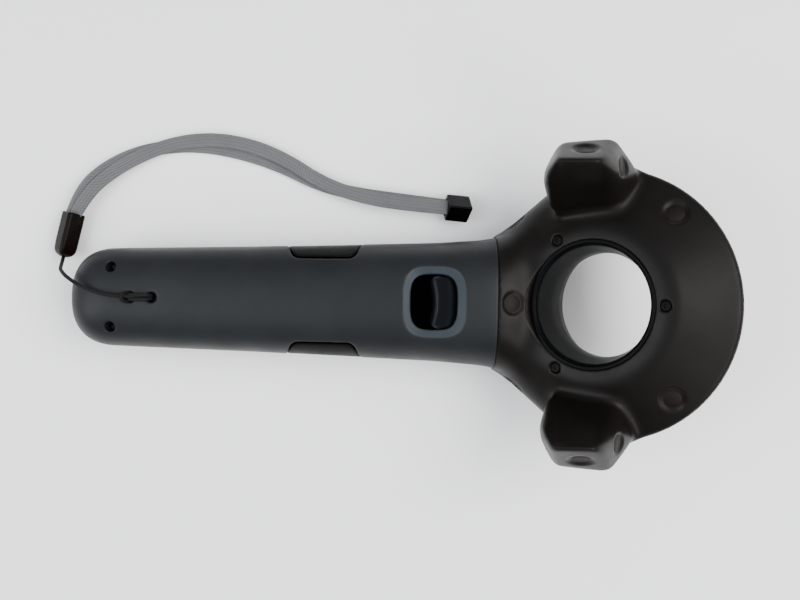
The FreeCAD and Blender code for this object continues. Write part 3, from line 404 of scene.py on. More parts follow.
# Name, dark and light colour, roughness, grain, grain's bump and gloss of each moulding.
PLASTICS = {
    "handle": ("handle_plastic", (0.0085, 0.0098, 0.0108), (0.0115, 0.0132, 0.0145),
        0.46, 3200.0, 0.16, 0.16),
    "head": ("head_plastic", (0.0038, 0.0031, 0.0027), (0.0062, 0.0051, 0.0045),
        0.38, 2400.0, 0.10, 0.11),
    # The sleeve is painted darker than the head: its own black plastic plus painted shade inside the
    # hole.
    "sleeve": ("sleeve_plastic", (0.0005, 0.0006, 0.0008), (0.0010, 0.0012, 0.0015),
        0.34, 2600.0, 0.08, 0.04),
    "sensor": ("sensor_window", (0.0066, 0.0046, 0.0037), (0.0084, 0.0060, 0.0049),
        0.5, 2000.0, 0.05, 0.10),
    "trigger": ("trigger_plastic", (0.0040, 0.0048, 0.0062), (0.0056, 0.0066, 0.0084),
        0.36, 2600.0, 0.06, 0.10),
    "grip": ("grip_plastic", (0.0030, 0.0030, 0.0029), (0.0046, 0.0045, 0.0043),
        0.45, 3000.0, 0.14, 0.05),
    "button": ("button_plastic", (0.005, 0.005, 0.0055), (0.008, 0.008, 0.0085),
        0.28, 2000.0, 0.04, 0.35),
    "pad": ("trackpad_surface", (0.007, 0.0075, 0.008), (0.010, 0.0105, 0.011),
        0.5, 3600.0, 0.2, 0.3),
    "clip": ("clip_plastic", (0.0024, 0.0014, 0.0010), (0.0066, 0.0038, 0.0028),
        0.3, 900.0, 0.15, 0.07, 180.0, 0.35),
    "slider": ("slider_plastic", (0.0008, 0.0008, 0.0010), (0.0016, 0.0016, 0.0019),
        0.18, 1200.0, 0.05, 0.14),
    # Inner parts painted near black: painted shade of the cavity seen through the trigger opening.
    "inner": ("inner_plastic", grey(0.0012), grey(0.0025), 0.6, 1500.0, 0.1, 0.1),
    "chip": ("chip_black", grey(0.012), grey(0.02), 0.45, 1500.0, 0.12, 0.5),
    "foam": ("foam_pad", grey(0.02), grey(0.05), 0.95, 1800.0, 0.8, 0.5),
    "wire": ("lead_wire", (0.16, 0.01, 0.01), (0.26, 0.02, 0.02), 0.4, 900.0, 0.12, 0.5),
    "film": ("ribbon_film", (0.22, 0.09, 0.02), (0.34, 0.15, 0.03), 0.3, 600.0, 0.12, 0.5),
    "lens": ("led_lens", (0.45, 0.5, 0.48), (0.6, 0.65, 0.62), 0.3, 1500.0, 0.05, 0.5),
    "screw": ("screw_black", (0.0010, 0.0009, 0.0009), (0.0020, 0.0018, 0.0018),
        0.5, 1800.0, 0.1, 0.08),
    "cord": ("cord_black", grey(0.0015), grey(0.006), 0.75, 4000.0, 0.9, 0.2),
}


def make_materials():
    """Every material of the object, by name."""
    made = {key: moulded(*look) for key, look in PLASTICS.items()}
    # The rear shell also gets the painted sheen inside the trigger's bezel.
    made["handle_rear"] = with_bezel_sheen(moulded(*PLASTICS["handle"]))
    made["steel"] = metal("pin_steel", (0.55, 0.55, 0.54), 0.25)
    made["foil"] = metal("battery_foil", (0.5, 0.5, 0.52), 0.3, (3.0, 3.0, 1.0))
    made["board"] = circuit("board_green")
    made["strap"] = woven("strap_fabric", (0.014, 0.014, 0.015), (0.132, 0.134, 0.140), 0.00075)
    return made


def give(obj, material):
    """Put one material on an object."""
    obj.data.materials.clear()
    obj.data.materials.append(material)


# ---- fields: signed distances in millimetres, negative inside ----

def smooth_max(a, b, k):
    """Larger of two fields, rounded over k."""
    h = np.clip(0.5 + 0.5 * (a - b) / k, 0.0, 1.0)
    return a * h + b * (1.0 - h) + k * h * (1.0 - h)


def smooth_min(a, b, k):
    """Smaller of two fields, filleted over k."""
    return -smooth_max(-a, -b, k)


def smooth_table(stations, values, reach):
    """The table's straight lines at every millimetre, softened over reach."""
    x = np.arange(stations[0], stations[-1] + 1.0, 1.0)
    y = np.interp(x, stations, values)
    half = int(reach // 2)
    padded = np.concatenate([y[0] - (y[1] - y[0]) * np.arange(half, 0, -1), y,
                             y[-1] + (y[-1] - y[-2]) * np.arange(1, half + 1)])
    kernel = np.hanning(2 * half + 3)[1:-1]
    return x, np.convolve(padded, kernel / kernel.sum(), "valid")


WIDTH_TABLE = smooth_table(STATIONS, HALF_WIDTHS, 8)
TOP_TABLE = smooth_table(STATIONS, TOPS, 10)
BOTTOM_TABLE = smooth_table(STATIONS, BOTTOMS, 6)
PLAN_TABLE = (np.array(PLAN_X), np.array(PLAN_Y))


def body_value(p):
    """Handle and neck as one form: below zero inside, not yet a distance."""
    x, y, z = p[:, 0], p[:, 1], p[:, 2]
    half_width = np.interp(x, *WIDTH_TABLE)
    top = np.interp(x, *TOP_TABLE)
    bottom = np.interp(x, *BOTTOM_TABLE) - SECTION_DIP
    middle = bottom + (top - bottom) * SECTION_MIDDLE
    up = z >= middle
    reach = np.where(up, top - middle, middle - bottom)
    power = np.where(up, POWER_HIGH, POWER_LOW)
    a = np.abs(y) / half_width
    b = np.abs(z - middle) / reach
    section = (a ** power + b ** power) ** (1.0 / power)
    end = np.maximum(1.0 - x / BUTT_LENGTH, 0.0)
    return (section ** BUTT_POWER + end ** BUTT_POWER) ** (1.0 / BUTT_POWER) - 1.0


SLOPE_STEP = 0.05


def body_field(p):
    """Handle and neck as a distance, cut flat underneath."""
    value = body_value(p)
    slope = np.zeros_like(value)
    for axis in range(3):
        shifted = p.copy()
        shifted[:, axis] += SLOPE_STEP
        slope += ((body_value(shifted) - value) / SLOPE_STEP) ** 2
    distance = value / np.maximum(np.sqrt(slope), 0.01)
    distance = smooth_max(distance, -p[:, 2], 0.6)
    return smooth_max(distance, p[:, 0] - NECK_END, 0.6)


def ring_coordinates(p):
    """Radius from the ring's axis and depth below its rim plane."""
    q = p - RING_CENTRE
    across = q[:, 0] * RING_COS + q[:, 2] * RING_SIN
    depth = q[:, 0] * RING_SIN - q[:, 2] * RING_COS
    return np.hypot(across, q[:, 1]), depth


def ring_point(radius, angle, depth):
    """Point in millimetres from its place in the ring; angle 0 is the front."""
    a = math.radians(angle)
    across, side = radius * math.cos(a), radius * math.sin(a)
    x = across * RING_COS + depth * RING_SIN
    z = across * RING_SIN - depth * RING_COS
    return RING_CENTRE + np.array((x, side, z))


def slant(radius, depth, start, end):
    """Distance from the line through two (radius, depth) points, above zero outside the ring."""
    dr, dd = end[0] - start[0], end[1] - start[1]
    return ((radius - start[0]) * dd - (depth - start[1]) * dr) / math.hypot(dr, dd)


def ring_field(p):
    """The ring's outer form, without its hole."""
    radius, depth = ring_coordinates(p)
    rim_face = slant(radius, depth, RIM_MIDDLE, RIM_OUTER)
    crescent = slant(radius, depth, RIM_OUTER, CRESCENT_EDGE)
    edge = radius - EDGE_RADIUS
    lower = slant(radius, depth, LOWER_EDGE, LOWER_FOOT)
    far_face = depth - RING_DEPTH + 0.2
    upper = smooth_max(rim_face, crescent, 1.6)
    out = smooth_max(upper, edge, 1.1)
    out = smooth_max(out, smooth_max(lower, far_face, 2.5), 1.2)
    side = (np.abs(p[:, 1]) - np.interp(p[:, 0], *PLAN_TABLE)) * 0.72
    return smooth_max(out, side, 3.0)


def hull_planes(corners):
    """Outward planes of the convex form round some corners."""
    points = np.array(corners, float)
    middle = points.mean(0)
    planes = []
    for a, b, c in combinations(points, 3):
        normal = np.cross(b - a, c - a)
        normal /= np.linalg.norm(normal)
        offset = normal @ a
        if normal @ middle > offset:
            normal, offset = -normal, -offset
        outermost = (points @ normal - offset).max() <= 1e-6
        if outermost and not any(normal @ n > 0.9999 for n, _ in planes):
            planes.append((normal, offset))
    return planes


LOBE_PLANES = hull_planes(LOBE)


def lobe_field(p):
    """Both lobes: rounded convex forms, mirrored about the middle."""
    q = p.copy()
    q[:, 1] = np.abs(q[:, 1])
    out = None
    for normal, offset in LOBE_PLANES:
        plane = q @ normal - offset
        out = plane if out is None else smooth_max(out, plane, LOBE_ROUNDING)
    return out


def bore_field(p, extra):
    """The hourglass hole, widened by extra."""
    radius, depth = ring_coordinates(p)
    return (radius - np.interp(depth, BORE_DEPTHS, BORE_RADII) - extra) * 0.98


def head_form(p):
    """Neck, ring and lobes, without holes or dimples."""
    core = smooth_min(ring_field(p), body_field(p), 5.0)
    return smooth_min(core, lobe_field(p), LOBE_FILLET)


def slope_of(field, p, step=SLOPE_STEP):
    """Gradient of a field at each point."""
    out = np.zeros_like(p)
    for axis in range(3):
        ahead, behind = p.copy(), p.copy()
        ahead[:, axis] += step
        behind[:, axis] -= step
        out[:, axis] = (field(ahead) - field(behind)) / (2 * step)
    return out


def settle(field, p, rounds=4, limit=0.6):
    """Move points onto the field's zero surface."""
    q = p.copy()
    for _ in range(rounds):
        slope = slope_of(field, q)
        size = np.maximum((slope ** 2).sum(1), 0.05)
        move = slope * (field(q) / size)[:, None]
        length = np.maximum(np.linalg.norm(move, axis=1), 1e-9)
        move *= np.minimum(1.0, limit / length)[:, None]
        q -= move
    return q


def sensor_guesses():
    """Rough places of the dimples, in millimetres."""
    places = [(149.8, 0.0, 33.5)]
    for side in (-1, 1):
        places.append(tuple(ring_point(38.7, side * 50.0, 7.0)))
        places.append((168.5, side * 48.5, 56.5))
        places.append((182.2, side * 43.0, 51.0))
        places.append((158.5, side * 42.5, 40.0))
        places.append((153.5, side * 26.5, 17.0))
    for angle in (0, 40, 80, 120, 240, 280, 320):
        places.append(tuple(ring_point(35.5, angle, 20.3)))
    return np.array(places)


SENSOR_POINTS = settle(head_form, sensor_guesses(), 12, 3.0)
SENSOR_NORMALS = slope_of(head_form, SENSOR_POINTS, 0.8)
SENSOR_NORMALS /= np.linalg.norm(SENSOR_NORMALS, axis=1)[:, None]


def dimple_field(p):
    """All sensor dimples as one cutter."""
    out = np.full(len(p), 50.0)
    for point, normal in zip(SENSOR_POINTS, SENSOR_NORMALS):
        near = ((p - point) ** 2).sum(1) < DIMPLE_REACH ** 2
        q = p[near] - point
        height = q @ normal
        radius = np.sqrt(np.maximum((q ** 2).sum(1) - height ** 2, 0.0))
        wide = SENSOR_FLOOR + (SENSOR_RADIUS - SENSOR_FLOOR) * (height + SENSOR_DEPTH) / SENSOR_DEPTH
        wall = (radius - np.minimum(wide, SENSOR_RADIUS + 1.0)) * 0.5
        cut = smooth_max(wall, -height - SENSOR_DEPTH, 0.12)
        out[near] = np.minimum(out[near], smooth_max(cut, height - 4.0, 0.3))
    return out


def cut_away(field, cutter, k):
    """Take a cutter out of a field."""
    return smooth_max(field, -cutter, k)


def rod_field(p, point, axis, radius, low, high):
    """Cylinder along an axis from low to high."""
    q = p - np.array(point)
    height = q @ np.array(axis)
    around = np.sqrt(np.maximum((q ** 2).sum(1) - height ** 2, 0.0)) - radius
    return smooth_max(around, np.maximum(low - height, height - high), 0.3)


def head_field(p):
    """The head as seen: hollow, with hole, dimples and screw seats."""
    solid = head_form(p)
    solid = cut_away(solid, dimple_field(p), 0.2)
    for angle in RING_SCREW_ANGLES:
        seat = ring_point(RING_SCREW_RADIUS, angle, 0.0)
        solid = cut_away(solid, rod_field(p, seat, RING_AXIS, SCREW_SEAT_RADIUS, -1.5, 8.0), 0.4)
    solid = cut_away(solid, bore_field(p, SLEEVE_WALL), 0.12)
    hollow = smooth_max(solid, -(solid + WALL), 0.3)
    return smooth_max(hollow, HANDLE_END + 0.02 - p[:, 0], 0.12)


def head_past_seam(p):
    """Distance past the head's seam, towards the trackpad side."""
    return ring_coordinates(p)[1] - SEAM_DEPTH


# ---- handle fields ----

TRACKPAD_X = 119.0
TRACKPAD_RADIUS = 16.4
# The disc round the trackpad that stands proud of the handle, and the shelf inside it.
LAND_RADIUS = 19.0
LAND_TOP = 5.5
SHELF_MARGIN = 1.6
SHELF_Z = (2.4, 9.0)
# Station and radius of each small opening on the trackpad side.
MENU = (140.6, 2.8)
SYSTEM = (89.0, 4.4)
LED = (80.5, 0.9)
# The charging socket's middle in Y and Z, half size, corner and depth.
SOCKET_MIDDLE = (0.0, 9.5)
SOCKET_HALF = (4.0, 1.6)
SOCKET_CORNER = 0.7
SOCKET_DEPTH = 8.0
# The trigger's bevel reaches full depth this far in from the bezel's outline.
BEVEL_RUN = 2.4
GRIP_X = (72.8, 101.8)
GRIP_Z = (8.5, 29.5)
GRIP_INNER_Y = 14.4
GRIP_SLANT = 4.6
GRIP_PRESS_GAP = 0.55
GRIP_CORNER = 3.0
# How far the pad's face sits below the handle, and its flange's two faces.
GRIP_SUNK = 0.12
GRIP_FLANGE = (2.6, 3.7)
GAP = 0.4
UP = (0.0, 0.0, 1.0)
# Above every cut, and a field's value where it cuts nothing.
CLEAR_Z = 45.0
FAR = 9.0
LANYARD_HOLES = (22.9, 30.1)
LANYARD_HOLE_RADIUS = 1.8
# The pocket under the lanyard holes: middle, then half size, corner and floor of its
# outside and of its inside.
LANYARD_CHANNEL = (26.5, 0.0)
CHANNEL_OUTSIDE = ((6.6, 3.2), 1.5, 23.3)
CHANNEL_INSIDE = ((5.4, 1.9), 1.2, 24.3)


def rounded_box(x, y, centre, half, radius):
    """Distance in plan from a box with rounded corners."""
    a = np.abs(x - centre[0]) - half[0] + radius
    b = np.abs(y - centre[1]) - half[1] + radius
    outside = np.hypot(np.maximum(a, 0.0), np.maximum(b, 0.0))
    return outside + np.minimum(np.maximum(a, b), 0.0) - radius


def oval(x, y, centre, half, power):
    """Distance in plan from a superellipse, true near its edge."""
    a = np.abs(x - centre[0]) / half[0]
    b = np.abs(y - centre[1]) / half[1]
    size = np.maximum((a ** power + b ** power) ** (1.0 / power), 1e-6)
    slope = np.hypot((a / size) ** (power - 1.0) / half[0], (b / size) ** (power - 1.0) / half[1])
    return (size - 1.0) / slope


def grip_field(p, extra, z_extra, inner_extra, k):
    """Slant-ended prism of a grip pad, both sides at once."""
    y = np.abs(p[:, 1])
    z0, z1 = GRIP_Z[0] - z_extra, GRIP_Z[1] + z_extra
    lean = GRIP_SLANT / (GRIP_Z[1] - GRIP_Z[0])
    scale = 1.0 / math.hypot(1.0, lean)
    left = (GRIP_X[0] - extra + (p[:, 2] - GRIP_Z[0]) * lean - p[:, 0]) * scale
    right = (p[:, 0] - GRIP_X[1] - extra + (p[:, 2] - GRIP_Z[0]) * lean) * scale
    ends = smooth_max(left, right, k)
    flats = np.maximum(z0 - p[:, 2], p[:, 2] - z1)
    return smooth_max(smooth_max(ends, flats, k), GRIP_INNER_Y - inner_extra - y, GRIP_CORNER)


def cut_trigger_opening(hollow, p, body):
    """Bevelled bezel and the opening inside it."""
    x, y, z = p[:, 0], p[:, 1], p[:, 2]
    wide = oval(x, y, *BEZEL)
    slot = oval(x, y, *OPENING)
    upper = z > SEAM_Z + WALL
    ramp = 0.25 + 0.75 * np.clip(-wide / BEVEL_RUN, 0.0, 1.0)
    bevel = np.where(upper, smooth_max(wide, -(body + ramp), 0.15), FAR)
    hollow = cut_away(hollow, bevel, 0.15)
    return cut_away(hollow, np.where(upper, slot, FAR), 0.45)


def channel_box(p, half, corner, floor):
    """Box of the lanyard pocket, open upwards."""
    outline = rounded_box(p[:, 0], p[:, 1], LANYARD_CHANNEL, half, corner)
    return smooth_max(outline, floor - p[:, 2], 0.4)


def add_lanyard_pocket(hollow, p, body):
    """Closed pocket inside the shell, with the two lanyard holes into it."""
    outside = smooth_max(channel_box(p, *CHANNEL_OUTSIDE), body + 0.8, 0.3)
    hollow = np.minimum(hollow, outside)
    inside = smooth_max(channel_box(p, *CHANNEL_INSIDE), body + 1.9, 0.4)
    hollow = cut_away(hollow, inside, 0.3)
    for hole_x in LANYARD_HOLES:
        hole = rod_field(p, (hole_x, 0.0, 0.0), UP, LANYARD_HOLE_RADIUS, 25.4, CLEAR_Z)
        hollow = cut_away(hollow, hole, 0.5)
    return hollow


def add_screw_posts(hollow, p, body):
    """Posts of the butt screws and the seats of their heads."""
    for side in BUTT_SCREW_SIDES:
        foot = (BUTT_SCREW_X, side, 0.0)
        post = rod_field(p, foot, UP, 2.9, 1.5, 25.0)
        hollow = np.minimum(hollow, smooth_max(post, body + 0.6, 0.3))
        seat = rod_field(p, foot, UP, SCREW_SEAT_RADIUS, BUTT_SCREW_HEAD_Z - 0.2, CLEAR_Z)
        hollow = cut_away(hollow, seat, 0.45)
    return hollow


def cut_trackpad_side(hollow, p):
    """Openings of the trackpad, buttons and light, the trackpad's shelf and the socket."""
    x, y, z = p[:, 0], p[:, 1], p[:, 2]
    low = z < SEAM_Z - WALL
    for hole_x, radius in ((TRACKPAD_X, TRACKPAD_RADIUS), MENU, SYSTEM, LED):
        gap = GAP if radius > 1.0 else 0.05
        hole = np.where(low, np.hypot(x - hole_x, y) - radius - gap, FAR)
        hollow = cut_away(hollow, hole, 0.35)
    shelf = rod_field(p, (TRACKPAD_X, 0.0, 0.0), UP, TRACKPAD_RADIUS + SHELF_MARGIN, *SHELF_Z)
    hollow = cut_away(hollow, shelf, 0.3)
    socket = rounded_box(y, z, SOCKET_MIDDLE, SOCKET_HALF, SOCKET_CORNER)
    return cut_away(hollow, np.maximum(socket, x - SOCKET_DEPTH), 0.35)


def handle_field(p):
    """The handle as seen: hollow, with every opening."""
    body = body_field(p)
    land = rod_field(p, (TRACKPAD_X, 0.0, 0.0), UP, LAND_RADIUS, 0.0, LAND_TOP)
    solid = smooth_max(smooth_min(body, land, 1.5), -p[:, 2], 0.3)
    hollow = smooth_max(solid, -(body + WALL), 0.3)
    hollow = cut_trigger_opening(hollow, p, body)
    hollow = add_lanyard_pocket(hollow, p, body)
    hollow = add_screw_posts(hollow, p, body)
    hollow = cut_trackpad_side(hollow, p)
    hollow = cut_away(hollow, grip_field(p, GAP, GAP, GRIP_PRESS_GAP, 0.8), 0.2)
    return smooth_max(hollow, p[:, 0] - HANDLE_END + 0.1, 0.12)


def handle_past_seam(p):
    """Distance past the handle's seam, towards the trackpad side."""
    return SEAM_Z - p[:, 2]


def shell_half(field, past_seam, side):
    """One half of a shell: side 1 is the trigger's, -1 is the trackpad's."""
    return lambda p: smooth_max(field(p), side * past_seam(p) + SEAM_GAP, 0.3)


def grip_pad_field(side):
    """One grip pad with its flange behind the shell."""
    def field(p):
        """Field of the pad on this side."""
        body = body_field(p)
        outline = grip_field(p, 0.0, 0.0, 0.0, 1.0)
        face = smooth_max(smooth_max(body + GRIP_SUNK, -(body + 2.7), 0.5), outline, 0.7)
        skin = np.maximum(body + GRIP_FLANGE[0], -(body + GRIP_FLANGE[1]))
        flange = smooth_max(skin, grip_field(p, 1.6, 1.2, 1.6, 0.5), 0.3)
        return np.maximum(smooth_min(face, flange, 0.2), -side * p[:, 1])
    return field


# ---- meshing ----

# Grid points that are worked out at one time.
SLAB_POINTS = 400000


def sample(field, low, high, step):
    """A field's values on a grid."""
    axes = [np.arange(low[i], high[i] + step, step) for i in range(3)]
    shape = tuple(len(a) for a in axes)
    values = np.empty(shape, np.float32)
    slab = max(1, SLAB_POINTS // (shape[1] * shape[2]))
    gy, gz = np.meshgrid(axes[1], axes[2], indexing="ij")
    for start in range(0, shape[0], slab):
        xs = axes[0][start:start + slab]
        block = np.empty((len(xs), shape[1], shape[2], 3))
        block[..., 0] = xs[:, None, None]
        block[..., 1] = gy
        block[..., 2] = gz
        values[start:start + slab] = field(block.reshape(-1, 3)).reshape(block.shape[:3])
    return values


def net_points(values):
    """One point in each grid cell that the surface crosses, and the points' numbers by cell."""
    cells = tuple(n - 1 for n in values.shape)
    total = np.zeros(cells + (3,))
    count = np.zeros(cells, np.int32)
    corners = [(i, j, k) for i in (0, 1) for j in (0, 1) for k in (0, 1)]
    for a in corners:
        for axis in range(3):
            if a[axis]:
                continue
            b = list(a)
            b[axis] = 1
            va = values[a[0]:a[0] + cells[0], a[1]:a[1] + cells[1], a[2]:a[2] + cells[2]]
            vb = values[b[0]:b[0] + cells[0], b[1]:b[1] + cells[1], b[2]:b[2] + cells[2]]
            cross = (va < 0) != (vb < 0)
            share = va[cross] / (va[cross] - vb[cross])
            for i in range(3):
                total[..., i][cross] += a[i]
            total[..., axis][cross] += share
            count[cross] += 1
    active = count > 0
    index = np.full(cells, -1, np.int64)
    index[active] = np.arange(active.sum())
    return np.argwhere(active) + total[active] / count[active][:, None], index


def net_quads(values, index):
    """A quad round each grid edge that the surface crosses."""
    inside = values < 0.0
    cells = index.shape
    quads = []
    for axis in range(3):
        u, v = (axis + 1) % 3, (axis + 2) % 3
        spans = [slice(1, n) for n in cells]
        spans[axis] = slice(0, cells[axis])
        ahead = list(spans)
        ahead[axis] = slice(1, cells[axis] + 1)
        here, there = inside[tuple(spans)], inside[tuple(ahead)]
        base = np.array([s.start for s in spans])
        for flip, mask in ((False, here & ~there), (True, ~here & there)):
            at = np.argwhere(mask) + base
            ring = []
            for du, dv in ((1, 1), (0, 1), (0, 0), (1, 0)):
                cell = at.copy()
                cell[:, u] -= du
                cell[:, v] -= dv
                ring.append(index[cell[:, 0], cell[:, 1], cell[:, 2]])
            quads.append(np.stack(ring[::-1] if flip else ring, 1))
    return np.concatenate(quads)


def smooth_mesh(name, vertices, faces, material):
    """Smooth mesh object from millimetre points."""
    mesh = bpy.data.meshes.new(name)
    mesh.from_pydata(place(vertices).tolist(), [], faces)
    mesh.validate()
    mesh.shade_smooth()
    obj = new_object(name, mesh)
    give(obj, material)
    return obj


def field_mesh(name, field, low, high, step, material):
    """Smooth mesh object of a field's zero surface."""
    values = sample(field, low, high, step)
    points, index = net_points(values)
    quads = net_quads(values, index)
    vertices = settle(field, points * step + np.array(low, float), 3, 0.35 * step)
    return smooth_mesh(name, vertices, quads.tolist(), material)


# ---- trigger ----

PIVOT = (134.5, 14.5)
PIN_BORE_RADIUS = 1.56
HUB_RADIUS = 3.8
# Half size of the spring's room round the pin, and how far above the pin it ends.
SPRING_ROOM = (4.5, 3.2)
SPRING_ROOM_TOP = 4.6
MAGNET_SEAT = (126.0, 25.4)
MAGNET_SEAT_RADIUS = 1.62
MAGNET_SEAT_HALF = 1.2
TRIGGER_HALF = 8.7
TRIGGER_TOP = smooth_table(
    (118.0, 123.6, 125.2, 127.0, 129.0, 132.0, 138.0), (36.4, 36.8, 37.1, 34.3, 32.0, 30.2, 29.0), 2)
TRIGGER_BOW = 1.7
# The pressed face's X at height FACE_Z, and how it leans.
FACE_X = 123.7
FACE_Z = 30.0
FACE_LEAN = 0.04
LOWER_LINE = ((122.8, 26.5), (131.6, 13.2))
BACK_LINE = ((137.7, 14.5), (138.1, 29.0))
TRIGGER_PLAN = ((131.0, 0.0), (9.2, TRIGGER_HALF), 4.0)


def side_line(x, z, start, end):
    """Distance to the left of the line from start to end, seen with Z up."""
    dx, dz = end[0] - start[0], end[1] - start[1]
    return ((z - start[1]) * dx - (x - start[0]) * dz) / math.hypot(dx, dz)


def trigger_field(p):
    """Finger lever with a bowed crest, a leaning face, a hub and its bores."""
    x, y, z = p[:, 0], p[:, 1], p[:, 2]
    bowed = x + TRIGGER_BOW * (y / TRIGGER_HALF) ** 2
    top = (z - np.interp(bowed, *TRIGGER_TOP)) * 0.6
    face = smooth_max(top, (FACE_X - bowed) + FACE_LEAN * (z - FACE_Z), 1.4)
    lower = side_line(x, z, *LOWER_LINE)
    back = side_line(x, z, *BACK_LINE)
    lever = smooth_max(smooth_max(face, -lower, 1.0), -back, 0.8)
    lever = smooth_max(lever, rounded_box(x, y, *TRIGGER_PLAN), 1.2)
    from_pin = np.hypot(x - PIVOT[0], z - PIVOT[1])
    hub = smooth_max(from_pin - HUB_RADIUS, np.abs(y) - TRIGGER_HALF, 0.4)
    out = smooth_min(lever, hub, 0.8)
    room = np.maximum(np.abs(x - PIVOT[0]) - SPRING_ROOM[0], np.abs(y) - SPRING_ROOM[1])
    out = cut_away(out, np.maximum(room, z - PIVOT[1] - SPRING_ROOM_TOP), 0.2)
    out = cut_away(out, from_pin - PIN_BORE_RADIUS, 0.1)
    from_magnet = np.hypot(x - MAGNET_SEAT[0], z - MAGNET_SEAT[1])
    seat = np.maximum(from_magnet - MAGNET_SEAT_RADIUS, np.abs(y) - MAGNET_SEAT_HALF)
    return cut_away(out, seat, 0.1)


# ---- turned pieces ----

SHARP_ANGLE = math.radians(38.0)


def closed_mesh(name, vertices, faces, material):
    """Mesh object from millimetre points, smooth but for its sharp edges."""
    obj = smooth_mesh(name, vertices, faces, material)
    mesh = obj.data
    work = bmesh.new()
    work.from_mesh(mesh)
    bmesh.ops.recalc_face_normals(work, faces=work.faces)
    work.to_mesh(mesh)
    work.free()
    mesh.set_sharp_from_angle(angle=SHARP_ANGLE)
    return obj


def turned_points(profile, count, origin, axis, lobes):
    """Points and faces of a closed outline of (radius, height, lobe) turned about an axis."""
    axis = np.array(axis, float) / np.linalg.norm(axis)
    helper = np.array((0.0, 1.0, 0.0)) if abs(axis[1]) < 0.9 else np.array((1.0, 0.0, 0.0))
    u = np.cross(helper, axis)
    u /= np.linalg.norm(u)
    v = np.cross(axis, u)
    points, faces = [], []
    rows = len(profile)
    for i in range(count):
        a = 2 * math.pi * i / count
        for radius, height, lobe in profile:
            r = radius * (1.0 + lobe * math.cos(lobes * a))
            points.append(np.array(origin) + axis * height + (u * math.cos(a) + v * math.sin(a)) * r)
    for i in range(count):
        for j in range(rows):
            k = (j + 1) % rows
            n = (i + 1) % count
            faces.append((i * rows + j, i * rows + k, n * rows + k, n * rows + j))
    return points, faces


def turned_set(name, profile, places, count, material, lobes):
    """Several equal turned pieces in one mesh; places are (origin, axis)."""
    points, faces = [], []
    for origin, axis in places:
        more, shapes = turned_points(profile, count, origin, axis, lobes)
        start = len(points)
        points += more
        faces += [tuple(i + start for i in face) for face in shapes]
    return closed_mesh(name, points, faces, material)


RIM_WALL = 1.52
LIP_ROUND = 0.7


def sleeve_profile():
    """Hourglass wall with a rounded lip, as (radius, height above the rim plane, 0)."""
    mouth, throat, foot_radius = BORE_RADII[1], BORE_RADII[2], BORE_RADII[4]
    bore = smooth_table(BORE_DEPTHS[1:5], BORE_RADII[1:5], 4)
    inner = [(float(np.interp(d, *bore)), -d, 0.0) for d in np.arange(1.0, 26.6, 1.5)]
    lip = [(mouth + RIM_WALL, -0.3, 0.0), (mouth + RIM_WALL - 0.15, -0.12, 0.0)]
    lip += [(mouth + LIP_ROUND * (1.0 - math.sin(a)), -0.8 + LIP_ROUND * math.cos(a), 0.0)
            for a in np.linspace(0.0, math.pi / 2, 7)]
    foot = [(foot_radius, -26.9, 0.0), (foot_radius + 0.4, -27.2, 0.0),
            (foot_radius + RIM_WALL, -27.2, 0.0)]
    outer = [(throat + RIM_WALL, -16.0, 0.0), (throat + RIM_WALL, -11.0, 0.0)]
    return lip + inner + foot + outer


# Outlines as (radius, height above the seat or the surface, depth of the lobes).
SCREW_PROFILE = (
    (0.02, -0.5, 0.0), (0.62, -0.5, 0.16), (0.72, 0.0, 0.16), (1.15, 0.02, 0.0),
    (1.5, -0.1, 0.0), (1.66, -0.35, 0.0), (1.66, -0.9, 0.0), (0.88, -0.95, 0.0),
    (0.88, -7.0, 0.0), (0.02, -7.4, 0.0),
)
WINDOW_PROFILE = (
    (0.02, -0.76, 0.0), (2.86, -0.76, 0.0), (2.93, -0.80, 0.0), (2.93, -0.95, 0.0),
    (2.0, -0.97, 0.0), (2.0, -3.2, 0.0), (0.02, -3.2, 0.0),
)
SCREW_LOBES = 6
SLEEVE_SIDES = 180
SMALL_SIDES = 48


# ---- lanyard ----

CORD_DIAMETER = 1.3
CORD_ROUTE = (
    (26.6, 0.2, 29.0), (20.5, 0.2, 29.2), (13.2, 1.0, 29.0), (7.0, 3.2, 28.4),
    (1.6, 6.2, 26.6), (-2.6, 8.8, 20.8), (-4.6, 10.2, 14.4), (-6.2, 11.6, 8.6), (-7.1, 13.7, 4.6),
)
# Strands that dip into the two lanyard holes: two side by side, and one round the cord.
HITCH_ROUTES = (
    ((22.4, -0.7, 26.2), (22.6, -0.6, 28.4), (24.6, -0.75, 29.4), (27.0, -0.7, 29.5),
     (29.0, -0.6, 28.9), (29.6, -0.4, 26.2)),
    ((29.7, 0.7, 26.2), (29.1, 0.75, 28.9), (27.0, 0.7, 29.5), (24.4, 0.8, 29.4),
     (22.6, 0.7, 28.4), (22.4, 0.6, 26.2)),
    ((22.6, -1.1, 26.4), (21.2, -1.6, 28.6), (20.4, 0.0, 30.2), (21.2, 1.6, 28.6), (22.6, 1.1, 26.4)),
)
CLIP_START = (-7.1, 13.7, 4.6)
CLIP_END = (-3.6, 29.2, 4.6)
CLIP_HALF = 3.2
# Half width, half height and depth of the clip's mouth.
CLIP_MOUTH = (2.4, 1.3)
CLIP_MOUTH_DEPTH = 0.7
SLIDER_LENGTH = 9.4
SLIDER_HALF = 3.45
SLIDER_TUNNEL = (2.75, 1.5)
SLIDER_OVERHANG = 1.6
SLIDER_LEAN = 0.3
STRAP_WIDTH = 4.8
STRAP_THICKNESS = 1.2
STRAP_ROUTE = (
    (-3.9, 28.1, 4.6), (0.2, 36.4, 4.3), (7.4, 43.7, 3.3), (17.6, 50.2, 2.3), (30.4, 54.9, 1.5),
    (43.6, 55.9, 1.45), (56.8, 53.9, 1.5), (70.0, 49.4, 1.6), (84.0, 41.6, 2.2),
    (97.0, 37.6, 3.7), (112.0, 35.0, 4.9), (135.6, 33.1, 4.9),
)
